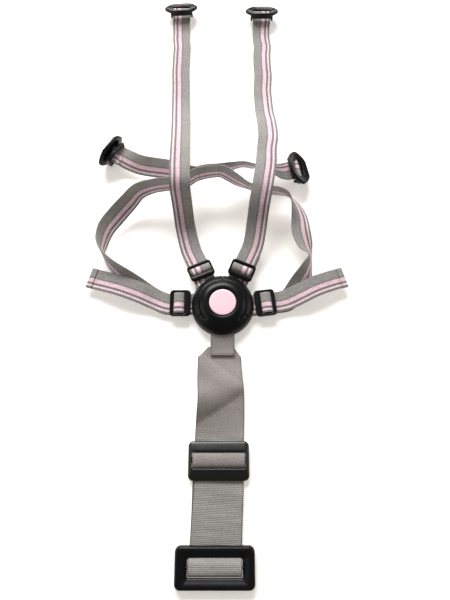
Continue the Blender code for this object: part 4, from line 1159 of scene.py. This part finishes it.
class HARNESS_OT_adjusters(bpy.types.Operator):
    """The four tri-glides on the shoulder and waist straps, with the webbing over their bars"""

    bl_idname = "harness.adjusters"
    bl_label = "Adjusters"

    def execute(self, context):
        for name, strap, size, seat, ply, striped in (
                ("left_shoulder_adjuster", LEFT_SHOULDER, SHOULDER_ADJUSTER, 18.6, LEFT_PLY, -1),
                ("right_shoulder_adjuster", RIGHT_SHOULDER, SHOULDER_ADJUSTER, 17.8, RIGHT_PLY, 1),
                ("left_waist_adjuster", LEFT_WAIST, WAIST_ADJUSTER, 19.0, WAIST_PLY, -1),
                ("right_waist_adjuster", RIGHT_WAIST, WAIST_ADJUSTER, 19.2, WAIST_PLY, 1)):
            width, length, thick, window = size
            (s0, z0), (s1, z1) = ply
            slope = (z1 - z0) / (s1 - s0)
            away = Vector((*strap[1], slope)).normalized()
            origin = on_strap(strap, seat, z0 + slope * (seat - s0))
            matrix = placing(origin, across_strap(strap), away)
            shift = length * 0.06
            bm = bmesh.new()
            outer = rounded_outline(width, length, 4.2, 6)
            inner = rounded_outline(width - 5.2, window, 1.4, 6, (0, shift))
            low, high = ADJUSTER_LIFT, ADJUSTER_LIFT + thick
            moulded_ring(bm, outer, inner, [
                (0.0, low + 1.0), (0.0, high - 1.7), (0.03, high - 1.0), (0.12, high - 0.35),
                (0.26, high - 0.05), (0.42, high), (0.62, high - 0.02), (0.82, high - 0.25),
                (0.94, high - 0.7), (1.0, high - 1.4), (1.0, low + 0.7), (0.9, low), (0.14, low)])
            add_block(bm, (width - 4.0, 3.2, 1.8), (0, shift, low + thick * 0.42), 0.6)
            bmesh.ops.transform(bm, matrix=matrix, verts=bm.verts)
            settle(object_from(bm, name + "_frame", "black_plastic", sharp=60.0), name,
                   "black_plastic", name)
            lifted = matrix @ Matrix.Translation((0, shift, 0))
            obj, path = arch_webbing(name + "_arch", lifted, STRAP_WIDTH, STRAP_THICK, window,
                                     high + 0.5, low + 0.3, striped, "striped_webbing")
            settle(obj, name, "striped_webbing", name + "_webbing")
        return {"FINISHED"}


class HARNESS_OT_crotch_slider(bpy.types.Operator):
    """The wide slider on the crotch strap, with the webbing over its bar"""

    bl_idname = "harness.crotch_slider"
    bl_label = "Crotch slider"

    def execute(self, context):
        width, length, window = SLIDER
        matrix = Matrix.Translation(SLIDER_PLACE)
        bm = bmesh.new()
        outer = rounded_outline(width, length, 5.4, 8)
        inner = rounded_outline(width - 7.8, window + 0.6, 1.6, 8, (0, 0.8))
        moulded_ring(bm, outer, inner, [
            (0.0, 0.9), (0.0, 1.5), (0.03, 2.1), (0.10, 2.6), (0.24, 3.15), (0.5, 4.0),
            (0.76, 4.8), (0.86, 5.05), (0.93, 5.0), (0.98, 4.6), (1.0, 3.9), (1.0, 0.6),
            (0.92, 0.0), (0.08, 0.0)])
        add_block(bm, (width - 6.0, 6.0, 1.8), (0, 0.8, 1.9), 0.6)
        bmesh.ops.transform(bm, matrix=matrix, verts=bm.verts)
        settle(object_from(bm, "crotch_slider_frame", "slate_plastic", sharp=60.0), "crotch_slider",
               "slate_plastic", "crotch_slider")
        lifted = matrix @ Matrix.Translation((0, 0.8, 0))
        arch_width = width - 8.6
        obj, path = arch_webbing("crotch_slider_arch", lifted, arch_width, CROTCH_THICK,
                                 window, 5.6, 0.6, -1, "grey_webbing")
        settle(obj, "crotch_slider", "grey_webbing", "crotch_slider_webbing")
        return {"FINISHED"}


class HARNESS_OT_crotch_frame(bpy.types.Operator):
    """The thick frame at the end of the crotch strap, with its bar"""

    bl_idname = "harness.crotch_frame"
    bl_label = "Crotch anchor frame"

    def execute(self, context):
        width, length, window = FRAME
        bm = bmesh.new()
        outer = rounded_outline(width, length, 5.6, 8)
        inner = rounded_outline(55.8, window, 1.6, 8, (0, -0.4))
        moulded_ring(bm, outer, inner, [
            (0.0, 1.2), (0.0, 5.6), (0.03, 6.9), (0.08, 7.8), (0.16, 8.4), (0.28, 8.6), (0.42, 8.4),
            (0.60, 7.2), (0.86, 5.8), (0.97, 5.2), (1.0, 4.6), (1.0, 3.9), (0.98, 3.8), (0.04, 3.8),
            (0.02, 1.0)])
        bmesh.ops.translate(bm, vec=Vector(FRAME_PLACE), verts=bm.verts)
        x, y, _ = FRAME_PLACE
        add_rod(bm, (x - 29.2, y, FRAME_BAR_HEIGHT), (x + 29.2, y, FRAME_BAR_HEIGHT), 1.6)
        settle(object_from(bm, "crotch_frame", "black_plastic", sharp=60.0), "crotch_anchor",
               "slate_plastic", "crotch_anchor_frame")
        return {"FINISHED"}


class HARNESS_OT_anchors(bpy.types.Operator):
    """The four slotted anchors that the webbing's ends are sewn round"""

    bl_idname = "harness.anchors"
    bl_label = "Anchors"

    def execute(self, context):
        length, width = FLANGE
        for name, (bar, (px, py), tilt) in ANCHORS.items():
            slot_length, slot_width = FLANGE_SLOT if tilt < UPRIGHT_TILT else NARROW_SLOT
            bm = bmesh.new()
            outer = rounded_outline(length, width, 13.0, 8, chamfer=0.55)
            inner = rounded_outline(slot_length, slot_width, min(5.0, 0.45 * slot_width), 8,
                                    chamfer=0.4)
            low = FLANGE_BOTTOM
            moulded_ring(bm, outer, inner, [
                (0.0, low + 1.3), (0.0, low + 2.6), (0.03, low + 3.4), (0.09, low + 3.95),
                (0.17, low + 4.2), (0.26, low + 4.15), (0.36, low + 3.85), (0.5, low + 3.3),
                (0.68, low + 2.9), (0.88, low + 2.8), (0.96, low + 2.6), (1.0, low + 2.1),
                (1.0, low + 0.3), (0.95, low), (0.12, low), (0.03, low + 0.5)])
            posts = slot_length / 2 + 1.5
            for sign in (-1, 1):
                add_block(bm, (2.8, 9.0, 10.4), (sign * posts, 0, -2.4), 0.7)
                add_block(bm, (2.8, 4.0, 1.8), (sign * posts, 4.2, -6.7), 0.6)
            add_block(bm, (2 * posts + 1.6, 1.8, 9.4), (0, 6.4, -2.9), 0.6)
            if tilt < UPRIGHT_TILT:
                add_block(bm, (32.0, 3.4, 4.6), (0, -9.0, -0.4), 0.8)
            else:
                add_block(bm, (2 * posts + 2.8, 2.2, 2.6), (0, -5.8, -6.0), 0.6)
                add_block(bm, (posts, 2.2, 7.6), (-posts / 2, -5.8, -2.6), 0.5)
                add_block(bm, (posts - 7.5, 2.2, 7.6), (posts / 2 + 3.75, -5.8, -2.6), 0.5)
                for sign in (-1, 1):
                    add_block(bm, (2.8, 4.6, 2.6), (sign * posts, -3.6, -5.6), 0.6)
            add_rod(bm, (-posts, 0, 0), (posts, 0, 0), ANCHOR_BAR_RADIUS)
            pull = Vector((px, py, 0)).normalized()
            angle = math.radians(tilt)
            outward = pull * math.sin(angle) + UP * math.cos(angle)
            side = Vector((pull.y, -pull.x, 0))
            bmesh.ops.transform(bm, matrix=placing(bar, side, outward.cross(side)), verts=bm.verts)
            settle(object_from(bm, name + "_body", "black_plastic", sharp=60.0), name,
                   "black_plastic", name)
        return {"FINISHED"}


class HARNESS_OT_inner_parts(bpy.types.Operator):
    """Finishes for the back shell, the screws, the latch plate and the spring"""

    bl_idname = "harness.inner_parts"
    bl_label = "Inner parts"

    def execute(self, context):
        for node, finish_name in (
                ("buckle_back_shell", "black_plastic"), ("buckle_screw_1", "steel"),
                ("buckle_screw_2", "steel"), ("buckle_screw_3", "steel"),
                ("latch_plate", "slate_plastic"), ("button_return_spring", "steel")):
            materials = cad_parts[node].data.materials
            materials.clear()
            materials.append(finish_named(finish_name))
        return {"FINISHED"}


# Stage


def floor_finish():
    finish = Finish("studio_floor", Specular_IOR_Level=0.1, Emission_Strength=FLOOR_GLOW,
                    Emission_Color=FLOOR_GLOW_COLOUR)
    place = finish.object_place()
    cloud = finish.noise(place, 3.0, 2.0)
    tint = finish.mix(cloud, (0.93, 0.925, 0.915), (0.96, 0.957, 0.95))
    return finish.surface(tint, 0.9)


class HARNESS_OT_stage(bpy.types.Operator):
    """The pale floor, the soft lights and the camera"""

    bl_idname = "harness.stage"
    bl_label = "Stage"

    def execute(self, context):
        scene = context.scene
        data = bpy.data.cameras.new("camera")
        data.lens = CAMERA_LENS
        camera = bpy.data.objects.new("camera", data)
        camera.location = CAMERA_PLACE
        camera.rotation_euler = (math.radians(CAMERA_TILT), 0.0, 0.0)
        scene.collection.objects.link(camera)
        scene.camera = camera

        bm = bmesh.new()
        bmesh.ops.create_grid(bm, x_segments=1, y_segments=1, size=4.0)
        mesh = bpy.data.meshes.new("floor")
        bm.to_mesh(mesh)
        bm.free()
        mesh.materials.append(floor_finish())
        floor = bpy.data.objects.new("floor", mesh)
        scene.collection.objects.link(floor)

        for name, place, width, depth, power, colour in LIGHTS:
            light = bpy.data.lights.new(name, "AREA")
            light.shape = "RECTANGLE"
            light.size, light.size_y = width, depth
            light.energy = power
            light.color = colour
            lamp = bpy.data.objects.new(name, light)
            lamp.location = place
            lamp.rotation_euler = (-Vector(place)).to_track_quat("-Z", "Y").to_euler()
            scene.collection.objects.link(lamp)

        world = bpy.data.worlds.new("studio")
        world.use_nodes = True
        background = world.node_tree.nodes["Background"]
        background.inputs["Color"].default_value = WORLD_COLOUR
        background.inputs["Strength"].default_value = WORLD_STRENGTH
        scene.world = world
        scene.view_settings.view_transform = "Standard"
        return {"FINISHED"}


class HARNESS_PT_panel(bpy.types.Panel):
    """Lists the harness's pieces in the sidebar"""

    bl_idname = "HARNESS_PT_panel"
    bl_label = "Pushchair harness"
    bl_space_type = "VIEW_3D"
    bl_region_type = "UI"
    bl_category = "Harness"

    def draw(self, context):
        for group in (context.scene.harness_sizes, context.scene.harness_colours):
            for key in group.bl_rna.properties.keys():
                if key not in {"rna_type", "name"}:
                    self.layout.prop(group, key)
        for operator in PIECES:
            self.layout.operator(operator.bl_idname)


PIECES = (
    HARNESS_OT_stage, HARNESS_OT_shoulder_webbing, HARNESS_OT_waist_webbing,
    HARNESS_OT_crotch_webbing, HARNESS_OT_buckle, HARNESS_OT_tongues, HARNESS_OT_adjusters,
    HARNESS_OT_crotch_slider, HARNESS_OT_crotch_frame, HARNESS_OT_anchors, HARNESS_OT_inner_parts)
CLASSES = (HarnessSizes, HarnessColours) + PIECES + (HARNESS_PT_panel,)


def register():
    for cls in CLASSES:
        bpy.utils.register_class(cls)
    bpy.types.Scene.harness_sizes = bpy.props.PointerProperty(type=HarnessSizes)
    bpy.types.Scene.harness_colours = bpy.props.PointerProperty(type=HarnessColours)


def unregister():
    del bpy.types.Scene.harness_colours
    del bpy.types.Scene.harness_sizes
    for cls in reversed(CLASSES):
        bpy.utils.unregister_class(cls)


def main():
    register()
    for operator in PIECES:
        group, name = operator.bl_idname.split(".")
        getattr(getattr(bpy.ops, group), name)()


if __name__ == "__main__":
    main()
